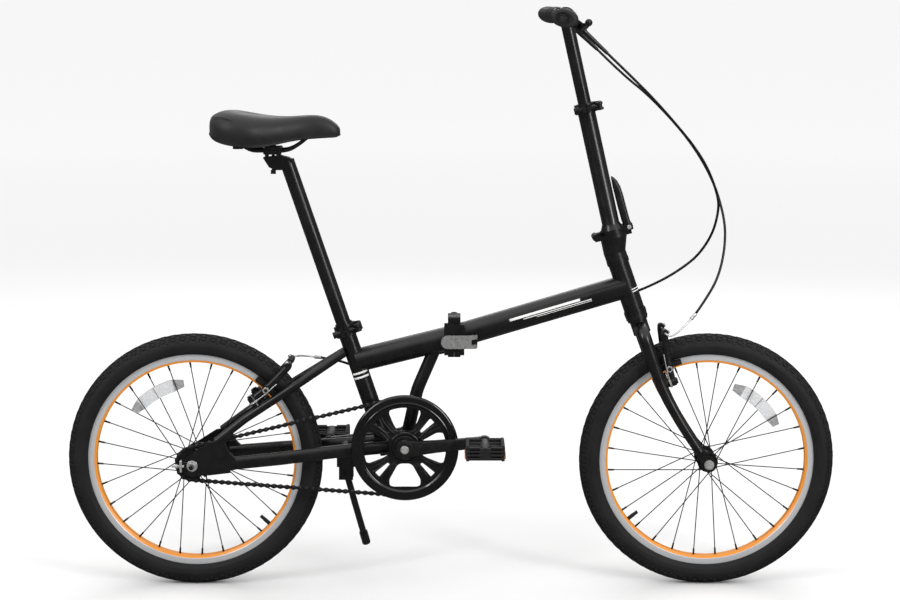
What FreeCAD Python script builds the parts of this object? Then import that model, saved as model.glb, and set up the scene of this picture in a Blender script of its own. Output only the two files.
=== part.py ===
import FreeCAD, Part
import math
import os

# A single-speed folding bicycle with 20 inch wheels, in millimetres.
# +X points forward, +Y to the rider's left and +Z up. The origin is on the ground, midway between the axles.

V = FreeCAD.Vector
AXIS_Y = V(0, 1, 0)

# Wheels: size 47-406.
WHEEL_R = 250.0
REAR_AXLE = V(-502, 0, WHEEL_R)
FRONT_AXLE = V(502, 0, WHEEL_R)
TYRE_HALF = 23.5
RIM_R = 210.0
RIM_BED_R = 194.0
SPOKES = 28
SPOKE_R = 1.0
AXLE_R = 4.8
RUNNING = 0.05
REAR_VALVE_ANGLE = -42.4
FRONT_VALVE_ANGLE = -141.4
REAR_REFLECTOR_ANGLE = 120.0
FRONT_REFLECTOR_ANGLE = 48.0

# Frame lines in the plane Y = 0.
MAIN_TILT = math.radians(16.57)
MAIN_Z0 = 491.4
MAIN_R = 23.2
SEAT_TILT = math.radians(18.64)
SEAT_POINT = V(-229.6, 0, 578.9)
SEAT_TUBE_R = 17.0
SEAT_POST_R = 14.5
STEER_TILT = math.radians(19.3)
STEER_POINT = V(342.8, 0, 589.3)
POST_TILT = math.radians(12.8)
POST_POINT = V(231.9, 0, 1058.3)
WALL = 2.0

MAIN = V(math.cos(MAIN_TILT), 0, math.sin(MAIN_TILT))
SEAT = V(-math.sin(SEAT_TILT), 0, math.cos(SEAT_TILT))
SEAT_FRONT = V(math.cos(SEAT_TILT), 0, math.sin(SEAT_TILT))
STEER = V(-math.sin(STEER_TILT), 0, math.cos(STEER_TILT))
STEER_FRONT = V(math.cos(STEER_TILT), 0, math.sin(STEER_TILT))
POST = V(-math.sin(POST_TILT), 0, math.cos(POST_TILT))
POST_FRONT = V(math.cos(POST_TILT), 0, math.sin(POST_TILT))

# Frame hinge: two upright plates that meet in a plane across the main tube.
HINGE_X = 6.4
HINGE_LOW = 456.0
HINGE_HIGH = 537.0
HINGE_HALF = 24.0
HINGE_PIN_Y = 33.0
HINGE_PIN_R = 4.0

# Drive: half-inch chain.
PITCH = 12.7
RING_TEETH = 48
COG_TEETH = 16
LINKS = 98
CHAIN_Y = -46.0
BB_Z = 283.5
CRANK = 155.0
CRANK_ANGLE = math.radians(5.4)
PEDAL_Y = 90.0
ROLLER_R = 3.9

# Details.
LATCH_PIN = V(46, -33, 0)
CABLE_R = 2.5
CROWN_HOLE_R = 3.0
POST_BORE = 12.75
FRONT_CLIPS = (290.0, 100.0)
REAR_CLIPS = (-86.0,)


# Basic shapes.

def unit(vector):
    return V(vector).normalize()


def rod(start, end, radius):
    along = end - start
    return Part.makeCylinder(radius, along.Length, start, along)


def cone(start, end, radius_start, radius_end):
    along = end - start
    return Part.makeCone(radius_start, radius_end, along.Length, start, along)


def tube(start, end, outer, inner):
    return rod(start, end, outer).cut(rod(start, end, inner))


def ring(centre, axis, length, outer, inner):
    half = unit(axis) * (length / 2)
    return tube(centre - half, centre + half, outer, inner)


def fuse(shapes):
    if len(shapes) == 1:
        return shapes[0]
    return shapes[0].multiFuse(shapes[1:]).removeSplitter()


def block(low, high):
    return Part.makeBox(high.x - low.x, high.y - low.y, high.z - low.z, low)


def basis_block(centre, a, b, c, size_a, size_b, size_c):
    """A box about centre whose sides lie along the unit vectors a, b and c."""
    box = Part.makeBox(size_a, size_b, size_c, V(-size_a / 2, -size_b / 2, -size_c / 2))
    box.Placement = FreeCAD.Placement(centre, FreeCAD.Rotation(V(a), V(b), V(c), "ZXY"))
    return box


def soften(shape, radius, chosen=None):
    """Rounds the edges that chosen picks; a shape whose edges can't be rounded stays sharp."""
    edges = [edge for edge in shape.Edges if chosen is None or chosen(edge)]
    try:
        rounded = shape.makeFillet(radius, edges)
    except Exception:
        return shape
    return rounded if rounded.isValid() and rounded.Volume > 0.5 * shape.Volume else shape


def slab(outline, y_low, y_high):
    """A plate in the XZ plane: outline holds (x, z) corners."""
    points = [V(x, y_low, z) for x, z in outline]
    face = Part.Face(Part.makePolygon(points + points[:1]))
    return face.extrude(V(0, y_high - y_low, 0))


def turned(profile, centre):
    """A ring about the Y axis through centre: profile is a closed wire in (Y, radius) drawn in the YZ plane."""
    solid = Part.Face(profile).revolve(V(0, 0, 0), AXIS_Y, 360)
    solid.translate(centre)
    return solid


def turned_corners(corners, centre):
    points = [V(0, y, r) for y, r in corners]
    return turned(Part.makePolygon(points + points[:1]), centre)


def bend_wire(points, bend):
    """Straight runs joined by tangent arcs of radius bend, or of 0.45 of the shorter run where bend is None."""
    edges = []
    radii = []
    last = points[0]
    for before, corner, after in zip(points, points[1:], points[2:]):
        back = unit(before - corner)
        ahead = unit(after - corner)
        turn = math.pi - back.getAngle(ahead)
        if turn < 0.002:
            continue
        shorter = min((before - corner).Length, (after - corner).Length)
        radius = bend if bend else 0.45 * shorter / math.tan(turn / 2)
        reach = radius * math.tan(turn / 2)
        start = corner + back * reach
        end = corner + ahead * reach
        inward = unit(back + ahead)
        middle = corner + inward * (radius / math.cos(turn / 2) - radius)
        edges.append(Part.LineSegment(last, start).toShape())
        edges.append(Part.Arc(start, middle, end).toShape())
        radii.append(radius)
        last = end
    edges.append(Part.LineSegment(last, points[-1]).toShape())
    return Part.Wire(edges), radii


def sweep(wire, start, toward, radius, radius_end=None):
    """A round bar along wire; with radius_end it tapers to that radius."""
    circle = Part.Wire(Part.makeCircle(radius, start, toward))
    if radius_end is None:
        return wire.makePipeShell([circle], True, False)
    edge = wire.Edges[-1]
    tip = edge.valueAt(edge.LastParameter)
    tip_circle = Part.Wire(Part.makeCircle(radius_end, tip, edge.tangentAt(edge.LastParameter)))
    return wire.makePipeShell([circle, tip_circle], True, False)


def bent_bar(points, bend, radius, radius_end=None):
    wire, _ = bend_wire(points, bend)
    return sweep(wire, points[0], points[1] - points[0], radius, radius_end)


def polar(centre, radius, degrees, y=0.0):
    angle = math.radians(degrees)
    return V(centre.x + radius * math.cos(angle), y, centre.z + radius * math.sin(angle))


def mirrored(shape):
    return shape.mirror(V(0, 0, 0), AXIS_Y)


def on_main(x):
    return V(x, 0, MAIN_Z0 + x * math.tan(MAIN_TILT))


def on_seat(z):
    return V(SEAT_POINT.x + (SEAT_POINT.z - z) * math.tan(SEAT_TILT), 0, z)


def on_steer(along):
    return STEER_POINT + STEER * along


def on_post(z):
    return V(POST_POINT.x + (POST_POINT.z - z) * math.tan(POST_TILT), 0, z)


nodes = {}


def keep(name, *solids):
    """Stores the solids of one piece, or of one group of like pieces."""
    nodes[name] = solids[0] if len(solids) == 1 else Part.makeCompound(list(solids))


# Drive geometry: the centre distance that closes the chain at a whole number of links.

RING_PITCH_R = PITCH / 2 / math.sin(math.pi / RING_TEETH)
COG_PITCH_R = PITCH / 2 / math.sin(math.pi / COG_TEETH)


def chain_links(centre_distance):
    lean = math.asin((RING_PITCH_R - COG_PITCH_R) / centre_distance)
    straight = math.sqrt(centre_distance ** 2 - (RING_PITCH_R - COG_PITCH_R) ** 2)
    around_ring = (math.pi + 2 * lean) / (2 * math.pi / RING_TEETH)
    around_cog = (math.pi - 2 * lean) / (2 * math.pi / COG_TEETH)
    return around_ring + around_cog + 2 * straight / PITCH


def chain_centre_distance():
    low, high = 380.0, 450.0
    for _ in range(60):
        middle = (low + high) / 2
        if chain_links(middle) < LINKS:
            low = middle
        else:
            high = middle
    return low


CENTRES = chain_centre_distance()
BB = V(REAR_AXLE.x + math.sqrt(CENTRES ** 2 - (BB_Z - WHEEL_R) ** 2), 0, BB_Z)
CHAIN_LEAN = math.asin((RING_PITCH_R - COG_PITCH_R) / CENTRES)
CHAIN_RISE = math.atan2(BB.z - REAR_AXLE.z, BB.x - REAR_AXLE.x)
PEDAL_RIGHT = V(BB.x + CRANK * math.cos(CRANK_ANGLE), 0, BB.z + CRANK * math.sin(CRANK_ANGLE))
PEDAL_LEFT = V(BB.x - CRANK * math.cos(CRANK_ANGLE), 0, BB.z - CRANK * math.sin(CRANK_ANGLE))


def chain_rollers():
    """The roller centres in order round the loop, from the top of the chainring, as (x, z)."""
    top = math.pi / 2 + CHAIN_RISE + CHAIN_LEAN
    bottom = -math.pi / 2 + CHAIN_RISE - CHAIN_LEAN
    straight = math.sqrt(CENTRES ** 2 - (RING_PITCH_R - COG_PITCH_R) ** 2)
    ring_step = 2 * math.pi / RING_TEETH
    cog_step = 2 * math.pi / COG_TEETH
    ring_links = (top - bottom) / ring_step
    cog_links = (2 * math.pi - (top - bottom)) / cog_step
    run_links = straight / PITCH
    rollers = []
    for link in range(LINKS):
        at = float(link)
        if at < ring_links:
            angle = top - at * ring_step
            rollers.append((BB.x + RING_PITCH_R * math.cos(angle), BB.z + RING_PITCH_R * math.sin(angle)))
            continue
        at -= ring_links
        if at < run_links:
            part = at / run_links
            low_ring = V(BB.x + RING_PITCH_R * math.cos(bottom), 0, BB.z + RING_PITCH_R * math.sin(bottom))
            low_cog = V(REAR_AXLE.x + COG_PITCH_R * math.cos(bottom), 0, REAR_AXLE.z + COG_PITCH_R * math.sin(bottom))
            point = low_ring + (low_cog - low_ring) * part
            rollers.append((point.x, point.z))
            continue
        at -= run_links
        if at < cog_links:
            angle = bottom - at * cog_step
            rollers.append((REAR_AXLE.x + COG_PITCH_R * math.cos(angle), REAR_AXLE.z + COG_PITCH_R * math.sin(angle)))
            continue
        at -= cog_links
        part = at / run_links
        high_cog = V(REAR_AXLE.x + COG_PITCH_R * math.cos(top), 0, REAR_AXLE.z + COG_PITCH_R * math.sin(top))
        high_ring = V(BB.x + RING_PITCH_R * math.cos(top), 0, BB.z + RING_PITCH_R * math.sin(top))
        point = high_cog + (high_ring - high_cog) * part
        rollers.append((point.x, point.z))
    return rollers


# Wheels.

def tyre(centre):
    """An open casing: a round crown that narrows to two beads inside the rim."""
    crown = WHEEL_R - TYRE_HALF
    lip = RIM_R + 0.2
    lip_y = math.sqrt(TYRE_HALF ** 2 - (crown - lip) ** 2)
    inner_r = 18.5
    neck_y = 7.0
    neck = crown - math.sqrt(inner_r ** 2 - neck_y ** 2)
    edges = []
    outer = [V(0, 10.1, 203.2), V(0, 10.1, lip), V(0, lip_y, lip)]
    for a, b in zip(outer, outer[1:]):
        edges.append(Part.LineSegment(a, b).toShape())
    edges.append(Part.Arc(outer[-1], V(0, TYRE_HALF, crown), V(0, 0, WHEEL_R)).toShape())
    edges.append(Part.Arc(V(0, 0, WHEEL_R), V(0, -TYRE_HALF, crown), V(0, -lip_y, lip)).toShape())
    back = [V(0, -lip_y, lip), V(0, -10.1, lip), V(0, -10.1, 203.2), V(0, -neck_y, 203.2), V(0, -neck_y, neck)]
    for a, b in zip(back, back[1:]):
        edges.append(Part.LineSegment(a, b).toShape())
    edges.append(Part.Arc(back[-1], V(0, 0, crown + inner_r), V(0, neck_y, neck)).toShape())
    edges.append(Part.LineSegment(V(0, neck_y, neck), V(0, neck_y, 203.2)).toShape())
    edges.append(Part.LineSegment(V(0, neck_y, 203.2), V(0, 10.1, 203.2)).toShape())
    return turned(Part.Wire(edges), centre)


def rim(centre, valve_angle):
    corners = [(12.5, RIM_R), (12.5, 199.5), (8.5, RIM_BED_R), (-8.5, RIM_BED_R), (-12.5, 199.5), (-12.5, RIM_R),
               (-10.4, RIM_R), (-10.4, 203.0), (-6.5, 202.4), (-6.0, 197.0), (6.0, 197.0), (6.5, 202.4),
               (10.4, 203.0), (10.4, RIM_R)]
    hoop = turned_corners(corners, centre)
    return hoop.cut(rod(polar(centre, 180, valve_angle), polar(centre, 205, valve_angle), 4.3))


def inner_tube(centre, valve_angle):
    """A thin hollow torus with its valve stem and cap."""
    crown = WHEEL_R - TYRE_HALF
    torus = Part.makeTorus(crown, 18.2, centre, AXIS_Y)
    stem = rod(polar(centre, 180, valve_angle), polar(centre, 212, valve_angle), 3.9)
    cap = rod(polar(centre, 171, valve_angle), polar(centre, 180.5, valve_angle), 3.4)
    solid = fuse([torus, stem, cap])
    return solid.cut(Part.makeTorus(crown, 17.2, centre, AXIS_Y))


def spokes(centre, flanges, valve_angle):
    """Straight spokes crossed over two others, each with a headed elbow at the flange and a nipple on the rim bed.
    The valve stands midway between two nipples."""
    bars = []
    per_side = SPOKES // 2
    step = 360.0 / per_side
    for side, (flange_y, hole_r) in zip((1, -1), flanges):
        shift = valve_angle + step / 4 + (0.0 if side > 0 else step / 2)
        for index in range(per_side):
            hub_angle = shift + index * step
            leading = index % 2 == 0
            rim_angle = hub_angle + (-2 * step if leading else 2 * step)
            lift = side * (4.6 if leading else -2.9)
            start = polar(centre, hole_r, hub_angle, flange_y + lift)
            face = polar(centre, hole_r, hub_angle, flange_y + math.copysign(1.5, lift))
            end = polar(centre, RIM_BED_R - 0.2, rim_angle, side * (1.8 if leading else 1.2))
            along = unit(end - start)
            nipple = cone(end - along * 12, end, 1.7, 2.0)
            elbow = rod(face, start + unit(start - face) * 0.8, 1.2)
            bars.append(fuse([rod(start, end - along * 1.0, SPOKE_R), nipple, elbow]))
    return bars


def hub(centre, half, barrel, flanges, flange_r, bearing_y):
    """A barrel with two flanges, bored for two bearings that carry the axle."""
    body = rod(centre + V(0, -half, 0), centre + V(0, half, 0), barrel)
    plates = [ring(centre + V(0, y, 0), AXIS_Y, 3.0, flange_r, barrel - 2) for y in flanges]
    shell = fuse([body] + plates)
    shell = shell.cut(rod(centre + V(0, -half, 0), centre + V(0, half, 0), AXLE_R + 2))
    seats = []
    races = []
    for y in bearing_y:
        seats.append(ring(centre + V(0, y, 0), AXIS_Y, 7.0, 11.0, AXLE_R))
        races.append(ring(centre + V(0, y, 0), AXIS_Y, 7.0, 11.0, AXLE_R + RUNNING))
    return [shell.cut(fuse(seats))] + races


def reflector(centre, angle):
    """A flat reflector clipped between the spokes, curved with the wheel."""
    middle_r = 152.0
    half_angle = math.degrees(58.0 / middle_r)
    outer = Part.makeCylinder(middle_r + 12.5, 6.0, centre + V(0, -3, 0), AXIS_Y)
    inner = Part.makeCylinder(middle_r - 12.5, 6.0, centre + V(0, -3, 0), AXIS_Y)
    reach = 300.0
    corners = [(centre.x, centre.z)]
    for offset in (-half_angle, half_angle):
        tip = polar(centre, reach, angle + offset)
        corners.append((tip.x, tip.z))
    wedge = slab(corners, -4, 4)
    return soften(outer.cut(inner).common(wedge), 1.0)


def build_wheels():
    front_flanges = [(30.0, 17.0), (-30.0, 17.0)]
    rear_flanges = [(34.0, 22.0), (-30.0, 22.0)]
    keep("front_tyre", tyre(FRONT_AXLE))
    keep("rear_tyre", tyre(REAR_AXLE))
    keep("front_rim", rim(FRONT_AXLE, FRONT_VALVE_ANGLE))
    keep("rear_rim", rim(REAR_AXLE, REAR_VALVE_ANGLE))
    keep("front_inner_tube", inner_tube(FRONT_AXLE, FRONT_VALVE_ANGLE))
    keep("rear_inner_tube", inner_tube(REAR_AXLE, REAR_VALVE_ANGLE))
    keep("front_spokes", *spokes(FRONT_AXLE, front_flanges, FRONT_VALVE_ANGLE))
    keep("rear_spokes", *spokes(REAR_AXLE, rear_flanges, REAR_VALVE_ANGLE))
    keep("front_hub", *hub(FRONT_AXLE, 36.0, 13.0, (30.0, -30.0), 20.0, (31.0, -31.0)))
    keep("rear_hub", *hub(REAR_AXLE, 41.0, 15.0, (34.0, -30.0), 26.0, (36.0, -36.0)))
    keep("front_reflector", reflector(FRONT_AXLE, FRONT_REFLECTOR_ANGLE))
    keep("rear_reflector", reflector(REAR_AXLE, REAR_REFLECTOR_ANGLE))


def axle(centre, half, nut_y, collars):
    """A plain axle with a washer and a hexagon nut outside each dropout and a lock collar inside it."""
    pieces = [rod(centre + V(0, -half, 0), centre + V(0, half, 0), AXLE_R)]
    for side in (1, -1):
        corners = [polar(centre, 8.7, 60 * k) for k in range(6)]
        nut = slab([(p.x, p.z) for p in corners], 0, 8)
        nut.translate(V(0, side * nut_y if side > 0 else -nut_y - 8, 0))
        washer = ring(centre + V(0, side * (nut_y - 1), 0), AXIS_Y, 2.0, 9.5, AXLE_R - 1)
        pieces += [nut, washer]
    for low, high in collars:
        pieces.append(rod(centre + V(0, low, 0), centre + V(0, high, 0), 8.5))
    return fuse(pieces)


# Frame.

def stay(points, bend, height, width, width_axis=AXIS_Y):
    """A stay of oval section, taller than it is wide."""
    wire, _ = bend_wire(points, bend)
    toward = unit(points[1] - points[0])
    across = unit(width_axis - toward * width_axis.dot(toward))
    oval = Part.Ellipse(points[0] + across.cross(toward) * (height / 2), points[0] + across * (width / 2), points[0])
    return wire.makePipeShell([Part.Wire(oval.toShape())], True, False)


def rear_dropout(side):
    """The plate that holds the axle, with the stays welded to its front edge."""
    disc = Part.makeCylinder(21.0, 5.0, REAR_AXLE + V(0, 61.0, 0), AXIS_Y)
    plate = slab([(-508, 270.5), (-468, 296), (-440, 300), (-428, 272), (-428, 236), (-470, 231), (-508, 229.8)],
                 61.0, 66.0)
    shape = fuse([disc, plate])
    shape = soften(shape, 3.0, lambda e: e.BoundBox.YLength > 4.5 and e.BoundBox.XLength < 0.1)
    return shape if side > 0 else mirrored(shape)


def stays_of(side):
    chain = [V(-440, 58, 252), V(-335, 53, 261.5), V(-232, 36, 271), V(-120, 27, 280)]
    seat = [V(-207, 12, 464), V(-302, 37, 402.5), V(-400, 47, 339), V(-455, 60, 297)]
    bars = [stay(chain, 120, 26.0, 16.0), bent_bar(seat, 90, 8.2)]
    if side < 0:
        bars = [mirrored(bar) for bar in bars]
    return bars


def brake_frame(base, up, out):
    """The rim brake's own directions: base is the middle of the pivot line, up runs along the arms, out is the
    pivots' direction."""
    return {"base": base, "up": up, "out": out}


FORK_BRAKE = brake_frame(on_steer(-197.0) + STEER_FRONT * 22.0, STEER, STEER_FRONT)
STAY_UP = unit(V(207 - 455, 0, 464 - 297)) * -1
STAY_UP = V(abs(STAY_UP.x), 0, abs(STAY_UP.z))
STAY_OUT = V(-STAY_UP.z, 0, STAY_UP.x)
STAY_BRAKE = brake_frame(V(-384.5, 0, 374.0), STAY_UP, STAY_OUT)
BOSS_Y = 40.0


def bosses(frame, reach):
    """The two studs on which the brake arms turn."""
    studs = []
    for side in (1, -1):
        foot = frame["base"] + V(0, side * BOSS_Y, 0)
        studs.append(rod(foot - frame["out"] * reach, foot - frame["out"] * 6.0, 8.0))
        studs.append(rod(foot - frame["out"] * 7.0, foot + frame["out"] * 11.0, 4.0))
        studs.append(rod(foot + frame["out"] * 8.2, foot + frame["out"] * 11.5, 6.5))
    return studs


def hinge_plate(x_low, x_high, knuckles):
    plate = block(V(x_low, -HINGE_HALF, HINGE_LOW), V(x_high, HINGE_HALF, HINGE_HIGH))
    plate = soften(plate, 5.0, lambda e: e.BoundBox.XLength > 5)
    pieces = [plate]
    for low, high in knuckles:
        barrel = rod(V(HINGE_X, HINGE_PIN_Y, low), V(HINGE_X, HINGE_PIN_Y, high), 8.0)
        web_near = min(max(HINGE_X, x_low), x_high)
        web_far = x_low + 3 if web_near == x_high else x_high - 3
        web = block(V(min(web_near, web_far), 20.0, low), V(max(web_near, web_far), HINGE_PIN_Y, high))
        pieces += [barrel, web]
    return fuse(pieces)


def tube_axis(x):
    """A point on the main tube's axis and its direction: the rear length slopes a little less than the front."""
    if x > HINGE_X:
        return on_main(x), MAIN
    start = on_seat(446.0)
    run = on_main(HINGE_X - 6) - start
    return start + run * ((x - start.x) / run.x), unit(run)


def cable_line(x, offset=0.0):
    """A point on the brake cable's run below and to the left of the main tube."""
    point, along = tube_axis(x)
    down = V(along.z, 0, -along.x)
    return point + (down + AXIS_Y) * ((MAIN_R + 3.9 + offset) / math.sqrt(2))


def cable_clip(x):
    """A hook welded to the tube that holds the cable."""
    along = tube_axis(x)[1]
    outward = unit(V(along.z, 1, -along.x))
    hook = basis_block(cable_line(x, -2.0), along, outward, along.cross(outward), 9.0, 9.0, 8.0)
    return hook.cut(rod(cable_line(x) - along * 6, cable_line(x) + along * 6, CABLE_R + RUNNING))


def rear_frame():
    seat_low = on_seat(262.0)
    seat_high = on_seat(521.0)
    main_start = on_seat(446.0)
    main_end = on_main(HINGE_X - 6)
    main = tube(main_start, main_end + MAIN * 8, MAIN_R, MAIN_R - WALL)
    beyond = block(V(HINGE_X - 5, -60, 400), V(HINGE_X + 60, 60, 600))
    main = main.cut(beyond)
    strut_points = [on_main(-30.0) - V(0, 0, 10), V(-66, 0, 389), V(BB.x + 3, 0, 296)]
    strut = bent_bar(strut_points, 150, 12.4)
    strut = strut.cut(rod(main_start, main_end, MAIN_R - 1))
    shell = rod(BB + V(0, -34, 0), BB + V(0, 34, 0), 20.0)
    seat = rod(seat_low, seat_high, SEAT_TUBE_R)
    bridge = rod(V(-208, -34, 273), V(-208, 34, 273), 9.0)
    gusset = slab([(-150, 268), (BB.x, 268), (BB.x, 296), (-150, 296)], -24, 24)
    stay_bridge = rod(V(-268, -26, 424), V(-268, 26, 424), 6.0)
    pieces = [seat, main, strut, shell, bridge, gusset, stay_bridge]
    for side in (1, -1):
        pieces += stays_of(side)
        pieces.append(rear_dropout(side))
        pieces.append(slab([(-452, 240), (-418, 242), (-418, 264), (-448, 292)], side * 60 - 6, side * 60 + 6))
    pieces += bosses(STAY_BRAKE, 24.0)
    plate = hinge_plate(HINGE_X - 12.3, HINGE_X - 0.1, [(HINGE_LOW + 4, HINGE_LOW + 26),
                                                       (HINGE_HIGH - 26, HINGE_HIGH - 4)])
    pieces.append(plate)
    pieces.append(block(V(HINGE_X - 19.4, -34, 462), V(HINGE_X - 0.1, -22, 524)))
    pieces += [cable_clip(x) for x in REAR_CLIPS]
    body = fuse(pieces)
    tools = [rod(on_seat(250.0), on_seat(530.0), SEAT_POST_R + RUNNING),
             rod(BB + V(0, -40, 0), BB + V(0, 40, 0), 17.0),
             rod(REAR_AXLE + V(0, -80, 0), REAR_AXLE + V(0, 80, 0), AXLE_R + 0.2),
             rod(V(HINGE_X, HINGE_PIN_Y, HINGE_LOW), V(HINGE_X, HINGE_PIN_Y, HINGE_HIGH), HINGE_PIN_R)]
    return body.cut(fuse(tools))


def front_frame():
    main_start = on_main(HINGE_X + 6)
    main_end = on_steer(4.0)
    main = rod(main_start - MAIN * 8, main_end, MAIN_R)
    main = main.cut(block(V(HINGE_X - 60, -60, 400), V(HINGE_X + 5, 60, 600)))
    head = rod(on_steer(-54.0), on_steer(61.0), 20.2)
    collars = [ring(on_steer(t), STEER, 9.0, 22.0, 18.0) for t in (-49.5, 56.5)]
    outer = fuse([main, head] + collars)
    hollow = rod(on_main(HINGE_X + 14), on_main(318.0), MAIN_R - WALL)
    plate = hinge_plate(HINGE_X + 0.1, HINGE_X + 12.3, [(HINGE_LOW + 26.5, HINGE_HIGH - 26.5)])
    catch = block(V(HINGE_X + 0.1, -34, 462), V(HINGE_X + 19.6, -22, 522))
    tongue = block(V(HINGE_X + 10, LATCH_PIN.y - 5.5, 484), V(LATCH_PIN.x, LATCH_PIN.y + 9, 494))
    nose = rod(V(LATCH_PIN.x, LATCH_PIN.y, 484), V(LATCH_PIN.x, LATCH_PIN.y, 494), 5.5)
    pin = rod(V(LATCH_PIN.x, LATCH_PIN.y, 475), V(LATCH_PIN.x, LATCH_PIN.y, 503), 3.0)
    outer = fuse([outer, plate, catch, tongue, nose, pin] + [cable_clip(x) for x in FRONT_CLIPS])
    tools = [hollow, rod(on_steer(-60.0), on_steer(70.0), 17.0),
             rod(V(HINGE_X, HINGE_PIN_Y, HINGE_LOW), V(HINGE_X, HINGE_PIN_Y, HINGE_HIGH), HINGE_PIN_R + RUNNING)]
    return outer.cut(fuse(tools))


def build_frame():
    keep("rear_frame", rear_frame())
    keep("front_frame", front_frame())
    pin = rod(V(HINGE_X, HINGE_PIN_Y, HINGE_LOW), V(HINGE_X, HINGE_PIN_Y, HINGE_HIGH), HINGE_PIN_R)
    heads = [rod(V(HINGE_X, HINGE_PIN_Y, z), V(HINGE_X, HINGE_PIN_Y, z + 3), 6.5)
             for z in (HINGE_LOW + 0.9, HINGE_HIGH - 3.9)]
    keep("frame_hinge_pin", fuse([pin] + heads))



# Fork and steering.

def build_fork():
    blades = []
    for side in (1, -1):
        path = [on_steer(-80.5) + V(0, side * 8, 0), on_steer(-90.0) + V(0, side * 42, 0),
                on_steer(-205.0) + V(0, side * 45, 0), V(447.8, side * 49, 329), V(484, side * 51.5, 274)]
        blades.append(bent_bar(path, None, 13.6, 9.5))
        along = unit(path[-1] - path[-2])
        across = V(-along.z, 0, along.x)
        top = path[-1] - along * 12
        corners = [top + across * 8, FRONT_AXLE + across * 12, FRONT_AXLE - across * 12, top - across * 8]
        low = min(side * 50.0, side * 56.0)
        blades.append(slab([(p.x, p.z) for p in corners], low, low + 6))
        blades.append(rod(V(502, low, 250), V(502, low + 6, 250), 15.0))
    steerer = rod(on_steer(-92.0), on_steer(100.0), 14.3)
    boss = rod(on_steer(-94.0), on_steer(-66.0), 17.0)
    race = rod(on_steer(-66.5), on_steer(-62.1), 20.0)
    body = fuse([steerer, boss, race] + blades + bosses(FORK_BRAKE, 24.0))
    crown = on_steer(-81.0)
    tools = [rod(on_steer(-60.0), on_steer(101.0), 12.0),
             rod(crown - STEER_FRONT * 30, crown + STEER_FRONT * 30, CROWN_HOLE_R),
             rod(FRONT_AXLE + V(0, -80, 0), FRONT_AXLE + V(0, 80, 0), AXLE_R)]
    keep("fork", body.cut(fuse(tools)))
    keep("front_axle", axle(FRONT_AXLE, 70.0, 58.0, [(36.3, 50.0), (-50.0, -36.3)]))
    inner = 14.3 + RUNNING
    low_cup = tube(on_steer(-62.0), on_steer(-54.0), 21.5, inner).fuse(
        tube(on_steer(-54.0), on_steer(-44.0), 17.0, inner)).removeSplitter()
    high_cup = tube(on_steer(61.0), on_steer(73.5), 21.5, inner).fuse(
        tube(on_steer(51.0), on_steer(61.0), 17.0, inner)).removeSplitter()
    keep("headset_cups", low_cup, high_cup)


FLANGE = on_post(697.0)


def flange_point(forward, up, y=0.0):
    """A point given from the centre of the handlepost hinge plane."""
    return FLANGE + POST_FRONT * forward + POST * up + V(0, y, 0)


def flange_rod(forward, up, y_low, y_high, radius):
    return rod(flange_point(forward, up, y_low), flange_point(forward, up, y_high), radius)


def flange_slab(corners, y_low, y_high):
    points = [flange_point(f, u) for f, u in corners]
    return slab([(p.x, p.z) for p in points], y_low, y_high)


def build_handlepost():
    low_ring = Part.Wire(Part.makeCircle(22.0, on_steer(74.0), STEER))
    high_ring = Part.Wire(Part.makeCircle(26.0, flange_point(0, -8.0), POST))
    casting = Part.makeLoft([low_ring, high_ring], True)
    plate = rod(flange_point(0, -8.2), flange_point(0, -0.1), 27.0)
    beak = flange_slab([(-37, -8), (0, -8), (0, -0.1), (-37, -0.1)], -20, 20)
    barrels = [flange_rod(-35, 0, -20, -9, 6.5), flange_rod(-35, 0, 9, 20, 6.5)]
    lip = flange_slab([(20, -8), (36, -8), (36, -2.3), (20, -2.3)], -7, 7)
    base = fuse([casting, plate, beak, lip] + barrels)
    base = base.cut(fuse([flange_rod(-35, 0, -9, 9, 7.0), rod(on_steer(60.0), on_steer(100.0), 14.3)]))
    pin = fuse([flange_rod(-35, 0, -21, 21, 3.0), flange_rod(-35, 0, 19.9, 22.5, 5.0),
                flange_rod(-35, 0, -22.5, -19.9, 5.0)])
    keep("handlepost_base", base.fuse(pin).removeSplitter())

    flange = rod(flange_point(0, 0.1), flange_point(0, 8.0), 24.5)
    skirt = cone(flange_point(0, 8.0), flange_point(0, 20.0), 22.0, 17.0)
    lower = rod(flange_point(0, 7.0), on_post(948.0), 17.0)
    web = flange_slab([(-35, 0.3), (-10, 0.3), (-10, 6.5), (-35, 6.5)], -8.8, 8.8)
    knuckle = flange_rod(-35, 0, -8.8, 8.8, 6.5)
    lugs = [flange_slab([(12, 0.3), (40, 0.3), (40, 12.5), (12, 12.5)], y, y + 5) for y in (8.3, -13.3)]
    latch_pin = flange_rod(33, 6, -14, 14, 3.0)
    body = fuse([flange, skirt, lower, web, knuckle, latch_pin] + lugs)
    body = body.cut(fuse([rod(flange_point(0, 12.0), on_post(960.0), POST_BORE),
                          flange_rod(-35, 0, -10, 10, 3.0 + RUNNING)]))
    keep("handlepost_lower", body)

    handle = flange_slab([(25.2, 6), (41, 6), (37, 20), (32.5, 45), (30.5, 70), (29, 90), (24, 106), (20.5, 108),
                          (19.5, 95), (21, 60), (21.5, 20)], -7.8, 7.8)
    latch = fuse([handle, flange_rod(33, 6, -7.8, 7.8, 8.0)])
    latch = soften(latch, 2.5, lambda e: e.Length > 18 and abs(e.BoundBox.YLength) < 0.1)
    keep("post_latch", latch.cut(flange_rod(33, 6, -9, 9, 3.0 + RUNNING)))

    keep("handlepost_collar", clamp(on_post(938.5), POST, POST_FRONT, 17.0, 21.0, 18.5))
    keep("post_clamp_lever", clamp_lever(on_post(938.5), POST, POST_FRONT, 21.0))


def clamp_pivot(centre, front, outer):
    return centre + front * 26 - AXIS_Y * (outer + 6)


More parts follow.
